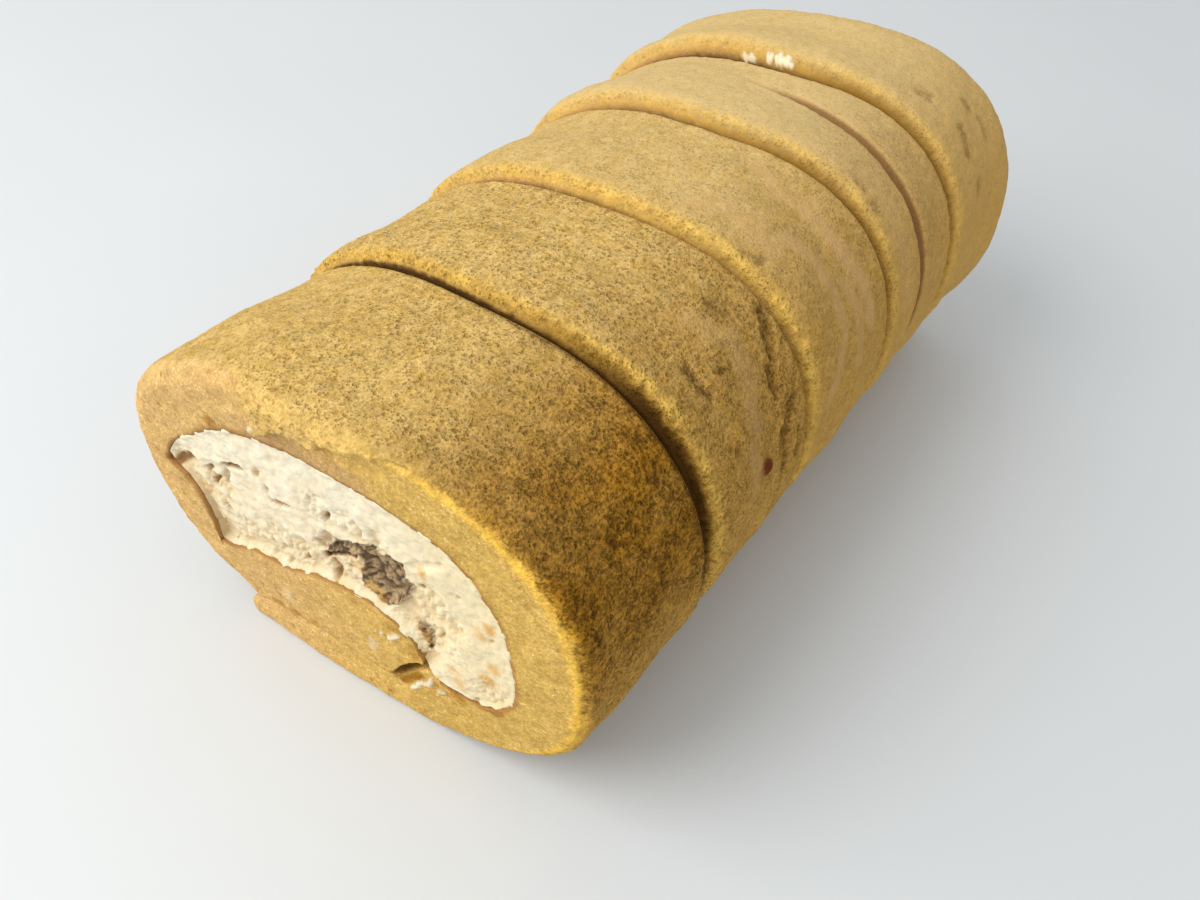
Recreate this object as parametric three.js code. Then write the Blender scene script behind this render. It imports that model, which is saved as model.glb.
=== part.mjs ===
// A swiss roll of plain sponge and cream, cut into five slices that still stand together as a whole.
//
// Millimetres, +Z up. The roll lies along Y with its first cut face towards -Y and rests on Z = 0.
// Seen from the front (+X to the right), one sheet of sponge starts at its outer end, the foot, which
// lies flat under the roll at the left. It turns once anticlockwise round the filling, comes down the
// left side, runs back over the foot as a thick core, and ends in a torn tip inside the filling.
// Every slice is two solids: its stretch of the sheet and the cream that runs through it.
import * as THREE from "three";
import { mergeVertices } from "three/addons/utils/BufferGeometryUtils.js";

const { degToRad, radToDeg, lerp, clamp, smoothstep } = THREE.MathUtils;

// ---- Driving dimensions ------------------------------------------------------------------------

// The roll's outline is a superellipse: an upper and a lower half that meet at the widest line.
const HALF_WIDTH = 43.2;
const WIDEST_HEIGHT = 32;
const CROWN_RISE = 30.6;
const BASE_DROP = 33;
const CROWN_POWER = 2.34;
const BASE_POWER = 2.26;
const CROWN_LEAN = 0.146;

// Thickness of the sheet round its turn, by the angle about the middle of the widest line.
const WALL = [
  [-41, 12.8], [-28, 10.6], [-16, 10.9], [0, 12.7], [31, 13.7], [53, 13.3], [77, 11.3],
  [110, 9.2], [142, 9.9], [160, 11.4], [171, 8.9], [181.4, 5.9],
];

// The turn's ends, and the stretch of the outline below it on the left side, by angle.
const TURN_START = -41;
const TURN_END = 181.4;
const LEFT_SIDE_START = 188;
const LEFT_SIDE_END = 211;

// The roll's ends and the cuts between them, front to back: the place along the roll on its right
// side, and how much further back the knife came through on its left side.
const CUTS = [
  { y: 0, slant: 0 },
  { y: 30.8, slant: 2.4 },
  { y: 60.5, slant: 2 },
  { y: 89.2, slant: 4.2 },
  { y: 115.4, slant: 4.6 },
  { y: 141.4, slant: 0 },
];
const SLANT_FROM_X = -24;
const SLANT_TO_X = 12;

// Slices, front to back: how far the front edge stands proud of the outline, how far the back edge
// is tucked in by the knife, how much the left shoulder and the right side swell, and the reach of
// the rounded front edge.
const SLICES = [
  { proud: 0.4, tuck: 1, left: 1.6, right: 0.8, edge: 1.5 },
  { proud: 1, tuck: 1.2, left: 0, right: 0, edge: 3 },
  { proud: 1.2, tuck: 1.6, left: 0, right: 0, edge: 3.5 },
  { proud: 1.3, tuck: 2.1, left: 0, right: 0, edge: 4 },
  { proud: 1.8, tuck: 0, left: 0, right: 1.2, edge: 4.5 },
];
const SLICE_GAP = 0.4;
const CREAM_CLEARANCE = 0.35;
const EDGE_DROP = 0.45;

// How strongly each of those works round the roll, by angle: 0 is the right side, 90 the crown.
const PROUD_AROUND = [
  [-50, 0], [-20, 0.1], [20, 0.25], [60, 0.55], [90, 0.8], [120, 1], [150, 0.7], [175, 0.2], [200, 0],
];
const TUCK_AROUND = [
  [-50, 0], [-20, 0.1], [20, 0.25], [60, 0.55], [90, 0.8], [120, 1], [150, 1], [175, 0.8], [230, 0.2],
  [250, 0],
];
const LEFT_AROUND = [[90, 0], [120, 0.7], [150, 1], [180, 0.6], [210, 0.45], [235, 0]];
const RIGHT_AROUND = [[-75, 0], [-55, 0.7], [-30, 1], [5, 0.9], [40, 0.3], [70, 0]];
const EDGE_AROUND = [
  [-70, 0], [-40, 0.5], [0, 1], [40, 0.8], [90, 0.4], [120, 0.5], [150, 0.8], [180, 0.8], [210, 0.5],
  [235, 0],
];

// Where each of them comes in and fades out, as shares of the way along a slice.
const PROUD_FADES = [0.1, 0.6];
const TUCK_COMES = [0.35, 1];
const LEFT_COMES = [-0.12, 0.12];
const LEFT_FADES = [0.35, 0.95];
const RIGHT_COMES = [0.3, 0.85];

// Two slow waves in the skin, each with its turns round the roll and its radians per mm along it.
const SKIN_WAVE = 0.3;
const SKIN_WAVES = [{ turns: 3, pitch: 0.19 }, { turns: 5, pitch: -0.31 }];
const WAVE_COMES = [0, 0.3];
const WAVE_FADES = [0.7, 1];

// The last slice's back edge is rounded all the way.
const BACK_EDGE = 5;
const BACK_EDGE_DROP = 0.3;
const BACK_EDGE_AROUND = [[-90, 0], [-60, 0.3], [-30, 1], [210, 1], [240, 0.3], [260, 0]];

// The first face: its turn and lean, the crumb that overhangs it at the crown, and the foot's step.
const FACE_SKEW = 0.056;
const FACE_LEAN = 0.035;
const LIP_REACH = 3;
const LIP = { left: -11, leftFull: -5, rightFull: 3, right: 25, bottom: 54, bottomFull: 58 };
const FOOT_STEP = { reach: 1.1, full: 4.6, top: 6.4, fullX: 8, endX: 24 };

// The first slice's back edge opens a wedge on the right side of the first cut.
const WEDGE_WIDTH = 2.6;
const WEDGE_AROUND = [[-14, 0], [2, 0.6], [15, 1], [35, 0.7], [62, 0.15], [90, 0]];

// A soft band pressed round the fourth slice, slanting from the crown to the right side.
const BAND_SLICE = 3;
const BAND_HALF_WIDTH = 1.7;
const BAND_Y = [[-60, 98], [0, 99.2], [37, 102.2], [56, 104.6], [84, 108.4], [100, 110.6]];
const BAND_DEPTH = [[-70, 0], [-40, 0.5], [0, 0.8], [60, 0.8], [85, 0.5], [100, 0]];

// The sheet's hand-shaped stretches, as points of smooth curves in the section (x, height).
const FOOT_TIP = [[-24.6, 1.4], [-25.2, 3.1]];
const FOOT_UNDER = { left: -23.6, right: 21 };
const FOOT_TOP = [
  [-24.4, 4.5], [-18, 5.9], [-8, 6.6], [4, 6.8], [8.9, 8.2], [11.8, 12.4], [14.2, 15.6], [17, 14.8],
];
const LEFT_WALL = [[-33.6, 29.8], [-31.6, 27], [-30.7, 22.9], [-30.4, 18.4], [-30.4, 15.2]];
const NOTCH = [[-32.2, 8.6], [-28, 7]];
const CORE_UNDER = [[-23.6, 5.8], [-16, 6.75], [-8, 7.15], [2, 7.3], [7, 8], [10, 11.4], [12.9, 16.4]];
const CORE_TOP = [
  [-27.6, 15.5], [-20.9, 19.2], [-13.7, 20.4], [-8, 23.3], [1.3, 25.7], [8.4, 25], [12.2, 22.4],
  [13.2, 19.8],
];
const CORE_TIP_BULGE = 0.8;

// The cream fills the room inside the sheet, from a horn at the left to a point below the core's tip.
const CREAM_HORN = [-35.4, 30.9];
const CREAM_POINT = [16.2, 15];
const CREAM_START = 178.4;
const CREAM_END_SHARE = 0.97;

// How far round the cream's lower side its cells have come, by their share, with its corner's place.
const CREAM_CORNER = 0.24;
const CREAM_LOWER_PACE = [[0, 0], [0.2, CREAM_CORNER], [0.62, 0.72], [0.85, 0.92], [1, 1]];

// Hollows in the cream's open faces: the middle (x, height), half sizes, turn in degrees and depth.
const FRONT_HOLLOWS = [
  { x: 1.5, z: 34.6, long: 7, short: 2.6, turn: 35, depth: 6 },
  { x: 8, z: 33, long: 6.2, short: 3.2, turn: 62, depth: 6.5 },
  { x: 14.3, z: 25, long: 3.6, short: 1.8, turn: 105, depth: 3.5 },
  { x: -33.6, z: 30.6, long: 2.6, short: 1.6, turn: 30, depth: 2.5 },
  { x: -21, z: 40, long: 2.6, short: 1.2, turn: 10, depth: 1.6 },
];
const BACK_HOLLOWS = [
  { x: -8, z: 36, long: 6, short: 3, turn: 20, depth: 4.5 },
  { x: 16, z: 38, long: 4, short: 2.4, turn: 120, depth: 3.5 },
  { x: 2, z: 46, long: 3.2, short: 1.6, turn: 0, depth: 2 },
];
const HOLLOW_FLOOR = 0.35;
const HOLLOW_RIM = 1.15;
const CREAM_SINK = 0.5;
const CREAM_LUMP = { depth: 0.55, pitchX: 0.55, pitchZ: 0.6, bend: 1.3, bendPitch: 0.4, skew: 0.16 };

// How finely the sheet is divided round its section.
const FOOT_PARTS = 9;
const TURN_PARTS = 30;
const LEFT_PARTS = 4;
const CORE_PARTS = 12;
const OUTLINE_PARTS = 720;

// How finely each slice is divided: the shares along it, the cells through the sheet, and the
// cream's cells along and across its section.
const OPEN_FRONT = { stations: [0, 0.03, 0.1, 0.4, 0.75, 1], sheet: 3, cream: [34, 9] };
const INNER = { stations: [0, 0.06, 0.2, 0.6, 1], sheet: 1, cream: [24, 4] };
const OPEN_BACK = { stations: [0, 0.06, 0.2, 0.5, 0.84, 0.95, 1], sheet: 2, cream: [34, 7] };
const DIVISIONS = [OPEN_FRONT, INNER, INNER, INNER, OPEN_BACK];
const BAND_STATIONS = { before: [0, 0.06, 0.2], after: [0.9, 1] };

const SPONGE_FINISH = { color: 0xd3b06f, roughness: 0.9, metalness: 0 };
const CREAM_FINISH = { color: 0xf0dfb8, roughness: 0.6, metalness: 0 };

// ---- Small helpers -----------------------------------------------------------------------------

// Straight-line reading of a table of [place, value] pairs, held at both ends.
function read(table, place) {
  if (place <= table[0][0]) return table[0][1];
  for (let i = 1; i < table.length; i++) {
    const [end, value] = table[i];
    const [start, before] = table[i - 1];
    if (place <= end) return lerp(before, value, (place - start) / (end - start));
  }
  return table[table.length - 1][1];
}

function pointsOf(pairs) {
  return pairs.map(([x, z]) => new THREE.Vector2(x, z));
}

function curveThrough(pairs) {
  return new THREE.SplineCurve(pointsOf(pairs));
}

const comesIn = (share, [from, to]) => smoothstep(share, from, to);
const fadesOut = (share, [from, to]) => 1 - smoothstep(share, from, to);

function shares(count) {
  return Array.from({ length: count }, (_, i) => i / (count - 1));
}

// The angle of a section point about the middle of the widest line, from -90 to 270 degrees.
function angleOf(x, z) {
  const angle = radToDeg(Math.atan2(z - WIDEST_HEIGHT, x));
  return angle < -90 ? angle + 360 : angle;
}

// ---- The section of the roll -------------------------------------------------------------------

function superellipsePoint(angle) {
  const c = Math.cos(angle);
  const s = Math.sin(angle);
  const power = 2 / (s >= 0 ? CROWN_POWER : BASE_POWER);
  const x = HALF_WIDTH * Math.sign(c) * Math.abs(c) ** power;
  const rise = Math.abs(s) ** power;
  if (s >= 0) return new THREE.Vector2(x, WIDEST_HEIGHT + (CROWN_RISE + CROWN_LEAN * x) * rise);
  return new THREE.Vector2(x, Math.max(0, WIDEST_HEIGHT - BASE_DROP * rise));
}

// The outline's radius by angle, read off the superellipse once.
const RADIUS = shares(OUTLINE_PARTS + 1)
  .map((share) => superellipsePoint(degToRad(lerp(-90, 270, share))))
  .map((p) => [angleOf(p.x, p.y), Math.hypot(p.x, p.y - WIDEST_HEIGHT)])
  .sort((a, b) => a[0] - b[0]);

function atAngle(angle, radius) {
  const turn = degToRad(angle);
  return new THREE.Vector2(radius * Math.cos(turn), WIDEST_HEIGHT + radius * Math.sin(turn));
}

const outlineAt = (angle) => atAngle(angle, read(RADIUS, angle));
const wallAt = (angle) => atAngle(angle, read(RADIUS, angle) - read(WALL, angle));

function undersideAt(x) {
  if (x < 0) return new THREE.Vector2(x, 0);
  const rise = (1 - (x / HALF_WIDTH) ** BASE_POWER) ** (1 / BASE_POWER);
  return new THREE.Vector2(x, Math.max(0, WIDEST_HEIGHT - BASE_DROP * rise));
}

// The sheet as matched pairs of points, on its outer and its inner side, from the foot to the tip.
function sheetSection() {
  const pairs = [pointsOf(FOOT_TIP)];
  const footTop = curveThrough(FOOT_TOP);
  for (const s of shares(FOOT_PARTS + 1)) {
    pairs.push([undersideAt(lerp(FOOT_UNDER.left, FOOT_UNDER.right, s)), footTop.getPoint(s)]);
  }
  for (const s of shares(TURN_PARTS + 1)) {
    const angle = lerp(TURN_START, TURN_END, s);
    pairs.push([outlineAt(angle), wallAt(angle)]);
  }
  const leftWall = curveThrough(LEFT_WALL);
  const leftSide = shares(LEFT_PARTS).map((s) => outlineAt(lerp(LEFT_SIDE_START, LEFT_SIDE_END, s)));
  const leftOuter = [...leftSide, ...pointsOf(NOTCH)];
  shares(leftOuter.length).forEach((s, i) => pairs.push([leftOuter[i], leftWall.getPoint(s)]));
  const under = curveThrough(CORE_UNDER);
  const top = curveThrough(CORE_TOP);
  for (const s of shares(CORE_PARTS + 1)) {
    pairs.push([under.getPoint(s), top.getPoint(s)]);
  }
  return pairs;
}

// The cream's outline as matched pairs, upper and lower side, from its left horn to the core's tip.
function creamSection(parts) {
  const upper = [];
  const lower = [];
  const leftWall = curveThrough([CREAM_HORN, ...LEFT_WALL]);
  const coreTop = curveThrough(CORE_TOP);
  for (const s of shares(parts + 1)) {
    const angle = lerp(CREAM_START, TURN_START, s / CREAM_END_SHARE);
    upper.push(s < 1 ? wallAt(angle) : new THREE.Vector2(...CREAM_POINT));
    const along = read(CREAM_LOWER_PACE, s);
    const pastCorner = (along - CREAM_CORNER) / (1 - CREAM_CORNER);
    lower.push(pastCorner < 0 ? leftWall.getPoint(along / CREAM_CORNER) : coreTop.getPoint(pastCorner));
  }
  const loop = [...upper, ...lower.reverse()];
  const inset = loop.map((point, i) => {
    const ahead = loop[(i + 1) % loop.length];
    const behind = loop[(i + loop.length - 1) % loop.length];
    const along = ahead.clone().sub(behind).normalize();
    return new THREE.Vector2(point.x + along.y * CREAM_CLEARANCE, point.y - along.x * CREAM_CLEARANCE);
  });
  return upper.map((_, i) => [inset[i], inset[inset.length - 1 - i]]);
}

// ---- From the section to a slice ---------------------------------------------------------------

// How far the drop of a rounded edge has come at a distance from it.
function roundedDrop(distance, reach) {
  const inside = clamp(1 - distance / reach, 0, 1);
  return reach * (1 - Math.sqrt(1 - inside * inside));
}

// How far the skin of a slice stands outside the plain outline, at a share of the way along it.
function skinOffset(slice, index, angle, share, y) {
  const length = CUTS[index + 1].y - CUTS[index].y;
  const leftAlong = comesIn(share, LEFT_COMES) * fadesOut(share, LEFT_FADES);
  const waveAlong = comesIn(share, WAVE_COMES) * fadesOut(share, WAVE_FADES);
  let offset = read(PROUD_AROUND, angle) * slice.proud * fadesOut(share, PROUD_FADES);
  offset -= read(TUCK_AROUND, angle) * slice.tuck * comesIn(share, TUCK_COMES);
  offset += read(LEFT_AROUND, angle) * slice.left * leftAlong;
  offset += read(RIGHT_AROUND, angle) * slice.right * comesIn(share, RIGHT_COMES);
  offset -= read(EDGE_AROUND, angle) * EDGE_DROP * roundedDrop(share * length, slice.edge);
  for (const { turns, pitch } of SKIN_WAVES) {
    const wave = Math.sin(turns * degToRad(angle) + y * pitch);
    offset += SKIN_WAVE * read(EDGE_AROUND, angle) * waveAlong * wave;
  }
  if (index === BAND_SLICE) {
    const away = Math.abs(y - read(BAND_Y, angle)) / BAND_HALF_WIDTH;
    offset -= read(BAND_DEPTH, angle) * (1 - smoothstep(away, 0, 1));
  }
  if (index === SLICES.length - 1) {
    const drop = roundedDrop((1 - share) * length, BACK_EDGE);
    offset -= read(BACK_EDGE_AROUND, angle) * BACK_EDGE_DROP * drop;
  }
  return offset;
}

function skinPoint(point, slice, index, share, y) {
  const angle = angleOf(point.x, point.y);
  const radius = Math.hypot(point.x, point.y - WIDEST_HEIGHT) + skinOffset(slice, index, angle, share, y);
  const moved = atAngle(angle, radius);
  moved.y = Math.max(0, moved.y);
  return moved;
}

// How far the first face stands towards the viewer of its plain plane.
function faceReach(x, z) {
  const tilt = -FACE_SKEW * x - FACE_LEAN * (z - WIDEST_HEIGHT);
  const lipAcross = smoothstep(x, LIP.left, LIP.leftFull) * (1 - smoothstep(x, LIP.rightFull, LIP.right));
  const lip = LIP_REACH * lipAcross * smoothstep(z, LIP.bottom, LIP.bottomFull);
  const footLow = 1 - smoothstep(z, FOOT_STEP.full, FOOT_STEP.top);
  const foot = FOOT_STEP.reach * footLow * (1 - smoothstep(x, FOOT_STEP.fullX, FOOT_STEP.endX));
  return tilt + lip + foot;
}

function cutY(cut, x) {
  return CUTS[cut].y + CUTS[cut].slant * (1 - smoothstep(x, SLANT_FROM_X, SLANT_TO_X));
}

function frontY(index, x, z) {
  return index === 0 ? -faceReach(x, z) : cutY(index, x) + SLICE_GAP / 2;
}

function backY(index, x, z, depth) {
  const back = cutY(index + 1, x);
  if (index === SLICES.length - 1) return back;
  const wedge = index === 0 ? WEDGE_WIDTH * read(WEDGE_AROUND, angleOf(x, z)) * (1 - depth) : 0;
  return back - SLICE_GAP / 2 - wedge;
}

// The shares along a slice at which the sheet's sides are divided, with three along the band's dent.
function stationShares(index, x, angle) {
  if (index !== BAND_SLICE) return DIVISIONS[index].stations;
  const front = cutY(index, x);
  const length = cutY(index + 1, x) - front;
  const middle = (read(BAND_Y, angle) - front) / length;
  const side = BAND_HALF_WIDTH / length;
  return [...BAND_STATIONS.before, middle - side, middle, middle + side, ...BAND_STATIONS.after];
}

// A block of cells bent into a solid: place(point) gets the cell corner's three counts and moves it.
function bentBlock(along, across, deep, place) {
  const block = new THREE.BoxGeometry(along, across, deep, along, across, deep);
  block.deleteAttribute("normal");
  block.deleteAttribute("uv");
  const solid = mergeVertices(block.translate(along / 2, across / 2, deep / 2));
  const corners = solid.getAttribute("position");
  const point = new THREE.Vector3();
  for (let i = 0; i < corners.count; i++) {
    point.fromBufferAttribute(corners, i).round();
    place(point);
    corners.setXYZ(i, point.x, point.y, point.z);
  }
  solid.computeVertexNormals();
  return solid;
}

// ---- Sponge ------------------------------------------------------------------------------------

const SHEET = sheetSection();
const CORE_STARTS = SHEET.length - CORE_PARTS - 1;

function spongeGeometry(slice, index) {
  const across = DIVISIONS[index].sheet;
  const deep = stationShares(index, 0, 0).length - 1;
  return bentBlock(SHEET.length - 1, across, deep, (point) => {
    const [outer, inner] = SHEET[point.x];
    const depth = point.y / across;
    const share = stationShares(index, outer.x, angleOf(outer.x, outer.y))[deep - point.z];
    const plain = outer.clone().lerp(inner, depth);
    const y = lerp(frontY(index, plain.x, plain.y), backY(index, plain.x, plain.y, depth), share);
    const skin = point.x < CORE_STARTS ? skinPoint(outer, slice, index, share, y) : outer;
    const placed = skin.clone().lerp(inner, depth);
    if (point.x === SHEET.length - 1) placed.x += CORE_TIP_BULGE * Math.sin(Math.PI * depth);
    point.set(placed.x, y, placed.y);
  });
}

// ---- Cream -------------------------------------------------------------------------------------

// How deep an open cream face lies behind its plane: a sunk, lumpy surface with torn hollows.
function creamDepth(x, z, hollows) {
  const lump = CREAM_LUMP;
  const lumpX = Math.sin(x * lump.pitchX + lump.bend * Math.sin(z * lump.bendPitch));
  const lumpZ = Math.sin(z * lump.pitchZ + x * lump.skew);
  let depth = CREAM_SINK + lump.depth * lumpX * lumpZ;
  for (const hollow of hollows) {
    const turn = degToRad(hollow.turn);
    const dx = x - hollow.x;
    const dz = z - hollow.z;
    const u = (dx * Math.cos(turn) + dz * Math.sin(turn)) / hollow.long;
    const v = (-dx * Math.sin(turn) + dz * Math.cos(turn)) / hollow.short;
    depth = Math.max(depth, hollow.depth * fadesOut(Math.hypot(u, v), [HOLLOW_FLOOR, HOLLOW_RIM]));
  }
  return depth;
}

function creamGeometry(index) {
  const isFirst = index === 0;
  const isLast = index === SLICES.length - 1;
  const [parts, across] = DIVISIONS[index].cream;
  const section = creamSection(parts);
  return bentBlock(parts, across, 1, (point) => {
    const [upper, lower] = section[point.x];
    const inward = point.y / across;
    const placed = upper.clone().lerp(lower, inward);
    const edge = point.x === 0 || point.x === parts || point.y === 0 || point.y === across;
    const isFront = point.z === 0;
    let y = isFront ? frontY(index, placed.x, placed.y) : backY(index, placed.x, placed.y, 1);
    if (isFront && isFirst) y += edge ? CREAM_SINK : creamDepth(placed.x, placed.y, FRONT_HOLLOWS);
    if (!isFront && isLast) y -= edge ? CREAM_SINK : creamDepth(placed.x, placed.y, BACK_HOLLOWS);
    point.set(placed.x, y, placed.y);
  });
}

// ---- The roll ----------------------------------------------------------------------------------

const roll = new THREE.Group();
SLICES.forEach((slice, index) => {
  const crumb = new THREE.MeshStandardMaterial(SPONGE_FINISH);
  const sponge = new THREE.Mesh(spongeGeometry(slice, index), crumb);
  sponge.name = `sponge_${index + 1}`;
  const filling = new THREE.MeshStandardMaterial(CREAM_FINISH);
  const cream = new THREE.Mesh(creamGeometry(index), filling);
  cream.name = `cream_${index + 1}`;
  roll.add(sponge, cream);
});

// The origin is the middle of the roll's own box, on the surface that it rests on.
const box = new THREE.Box3().setFromObject(roll, true);
const middle = box.getCenter(new THREE.Vector3());
roll.position.set(-middle.x, -middle.y, -box.min.z);

export default roll;
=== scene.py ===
"""The looks of a cream-filled swiss roll that is cut into five slices.

Every slice has its stretch of the rolled sheet of sponge, and the cream that runs through it. The
sponge, and the cream at both open ends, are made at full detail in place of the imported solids.
"""
import itertools
import math
from types import SimpleNamespace

import bpy
import numpy as np
from mathutils import Matrix, Vector


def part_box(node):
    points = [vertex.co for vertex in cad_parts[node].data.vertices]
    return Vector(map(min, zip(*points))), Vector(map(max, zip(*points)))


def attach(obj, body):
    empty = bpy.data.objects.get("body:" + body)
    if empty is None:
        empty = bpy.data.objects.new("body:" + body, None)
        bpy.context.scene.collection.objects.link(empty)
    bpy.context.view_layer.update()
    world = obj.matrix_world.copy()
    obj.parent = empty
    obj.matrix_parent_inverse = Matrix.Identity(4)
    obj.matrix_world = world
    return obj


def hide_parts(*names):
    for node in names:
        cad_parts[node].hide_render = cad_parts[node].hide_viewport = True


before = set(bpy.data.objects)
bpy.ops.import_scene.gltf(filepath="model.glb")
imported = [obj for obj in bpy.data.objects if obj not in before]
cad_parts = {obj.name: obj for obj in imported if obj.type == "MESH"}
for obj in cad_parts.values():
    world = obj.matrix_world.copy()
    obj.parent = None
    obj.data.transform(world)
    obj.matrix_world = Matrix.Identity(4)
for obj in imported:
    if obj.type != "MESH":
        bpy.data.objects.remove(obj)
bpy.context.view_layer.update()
MM = 0.001

# ---- Number helpers -----------------------------------------------------------------------------

def ramp(value, low, high):
    """0 below low and 1 above high, smooth between them."""
    t = np.clip((value - low) / (high - low), 0, 1)
    return t * t * (3 - 2 * t)


def fade(value, low, high):
    return 1 - ramp(value, low, high)


def zone(value, comes, fades):
    """0, then 1 past the range where it comes, and 0 again past the range where it fades."""
    return ramp(value, *comes) * fade(value, *fades)


def mix(a, b, share):
    return a + (b - a) * share


class Table:
    """A table of (place, value) pairs, read along a curve with softened corners."""

    def __init__(self, pairs, blur=4.0, step=0.5):
        places, values = np.array(pairs, float).T
        reach = 3 * blur
        self.grid = np.arange(places[0] - reach, places[-1] + reach, step)
        spread = np.arange(-reach, reach + step, step)
        kernel = np.exp(-0.5 * (spread / blur) ** 2)
        edge = len(spread) // 2
        padded = np.pad(np.interp(self.grid, places, values), edge, mode="edge")
        self.values = np.convolve(padded, kernel / kernel.sum(), mode="valid")[: len(self.grid)]

    def __call__(self, place):
        return np.interp(place, self.grid, self.values)


def spline(pairs):
    """A smooth curve through points, as a function of the share of the way along them."""
    points = np.array(pairs, float)
    last = len(points) - 1

    def at(share):
        place = np.clip(np.asarray(share, float), 0, 1) * last
        i = np.minimum(place.astype(int), last - 1)
        t = (place - i)[:, None]
        before, start, end, after = (points[np.clip(i + k, 0, last)] for k in (-1, 0, 1, 2))
        slope_in, slope_out = (end - before) / 2, (after - start) / 2
        return (
            (2 * start - 2 * end + slope_in + slope_out) * t**3
            + (3 * end - 3 * start - 2 * slope_in - slope_out) * t**2
            + slope_in * t
            + start
        )

    return at


def path_distance(u, v, path):
    """Distance of each (u, v) from a path of straight stretches."""
    here = np.stack(np.broadcast_arrays(u, v), -1)
    best = np.full(here.shape[:-1], 1e9)
    ends = [np.array(point, float) for point in path]
    for start, end in zip(ends, ends[1:]):
        way = end - start
        t = np.clip((here - start) @ way / (way @ way), 0, 1)
        best = np.minimum(best, np.linalg.norm(here - start - t[..., None] * way, axis=-1))
    return best


# ---- Driving dimensions, in mm, as in the solids ------------------------------------------------

HALF_WIDTH = 43.2
WIDEST_HEIGHT = 32
CROWN_RISE = 30.6
BASE_DROP = 33
CROWN_POWER = 2.34
BASE_POWER = 2.26
CROWN_LEAN = 0.146

# Thickness of the sheet round its turn, by angle: 0 is the right side, 90 the crown.
wall = Table([
    (-41, 12.8), (-28, 10.6), (-16, 10.9), (0, 12.7), (31, 13.7), (53, 13.3), (77, 11.3),
    (110, 9.2), (142, 9.9), (160, 11.4), (171, 8.9), (181.4, 5.9),
], blur=3)
TURN_START = -41
TURN_END = 181.4
LEFT_SIDE_START = 188
LEFT_SIDE_END = 211

# The roll's ends and the cuts between them: place along the roll, and the slant of the left side.
CUTS = [(0, 0), (30.8, 2.4), (60.5, 2), (89.2, 4.2), (115.4, 4.6), (141.4, 0)]
SLANT_FROM_X = -24
SLANT_TO_X = 12
SLICE_GAP = 0.4
LAST = len(CUTS) - 2

# Each slice: proud front edge, tucked back edge, swollen left and right, reach of the round edge.
SLICES = [
    {"proud": 0.4, "tuck": 1, "left": 1.6, "right": 0.8, "edge": 1.5},
    {"proud": 1, "tuck": 1.2, "left": 0, "right": 0, "edge": 3},
    {"proud": 1.2, "tuck": 1.6, "left": 0, "right": 0, "edge": 3.5},
    {"proud": 1.3, "tuck": 2.1, "left": 0, "right": 0, "edge": 4},
    {"proud": 1.8, "tuck": 0, "left": 0, "right": 1.2, "edge": 4.5},
]
EDGE_DROP = 0.45
proud_around = Table([
    (-50, 0), (-20, 0.1), (20, 0.25), (60, 0.55), (90, 0.8), (120, 1), (150, 0.7), (175, 0.2),
    (200, 0),
])
tuck_around = Table([
    (-50, 0), (-20, 0.1), (20, 0.25), (60, 0.55), (90, 0.8), (120, 1), (150, 1), (175, 0.8),
    (230, 0.2), (250, 0),
])
left_around = Table([(90, 0), (120, 0.7), (150, 1), (180, 0.6), (210, 0.45), (235, 0)])
right_around = Table([(-75, 0), (-55, 0.7), (-30, 1), (5, 0.9), (40, 0.3), (70, 0)])
edge_around = Table([
    (-70, 0), (-40, 0.5), (0, 1), (40, 0.8), (90, 0.4), (120, 0.5), (150, 0.8), (180, 0.8),
    (210, 0.5), (235, 0),
])
PROUD_FADES = (0.1, 0.6)
TUCK_COMES = (0.35, 1)
LEFT_COMES = (-0.12, 0.12)
LEFT_FADES = (0.35, 0.95)
RIGHT_COMES = (0.3, 0.85)
SKIN_WAVE = 0.3
SKIN_WAVES = [(3, 0.19), (5, -0.31)]
WAVE_COMES = (0, 0.3)
WAVE_FADES = (0.7, 1)
BACK_EDGE = 5
BACK_EDGE_DROP = 0.3
back_edge_around = Table([(-90, 0), (-60, 0.3), (-30, 1), (210, 1), (240, 0.3), (260, 0)])

# The first face: turn, lean, and the step that the foot stands forward.
FACE_SKEW = 0.056
FACE_LEAN = 0.035
FOOT_STEP = {"reach": 1.1, "full": 1.5, "top": 7.5, "full_x": -8, "end_x": 24}

# The wedge that gapes on the right side of the first cut, and the band on the fourth slice. The
# wedge is narrower than in the solids, because the second slice's edge is rounded off there.
WEDGE_WIDTH = 0.8
wedge_around = Table([(-30, 0), (-14, 0.5), (2, 0.9), (15, 1), (35, 1), (44, 0.5), (55, 0.2), (75, 0)])
BAND_SLICE = 3
BAND_HALF_WIDTH = 1.7
band_y = Table([(-60, 98), (0, 99.2), (37, 102.2), (56, 104.6), (84, 108.4), (100, 110.6)])
band_depth = Table([(-70, 0), (-40, 0.5), (0, 0.8), (60, 0.8), (85, 0.5), (100, 0)])

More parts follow.
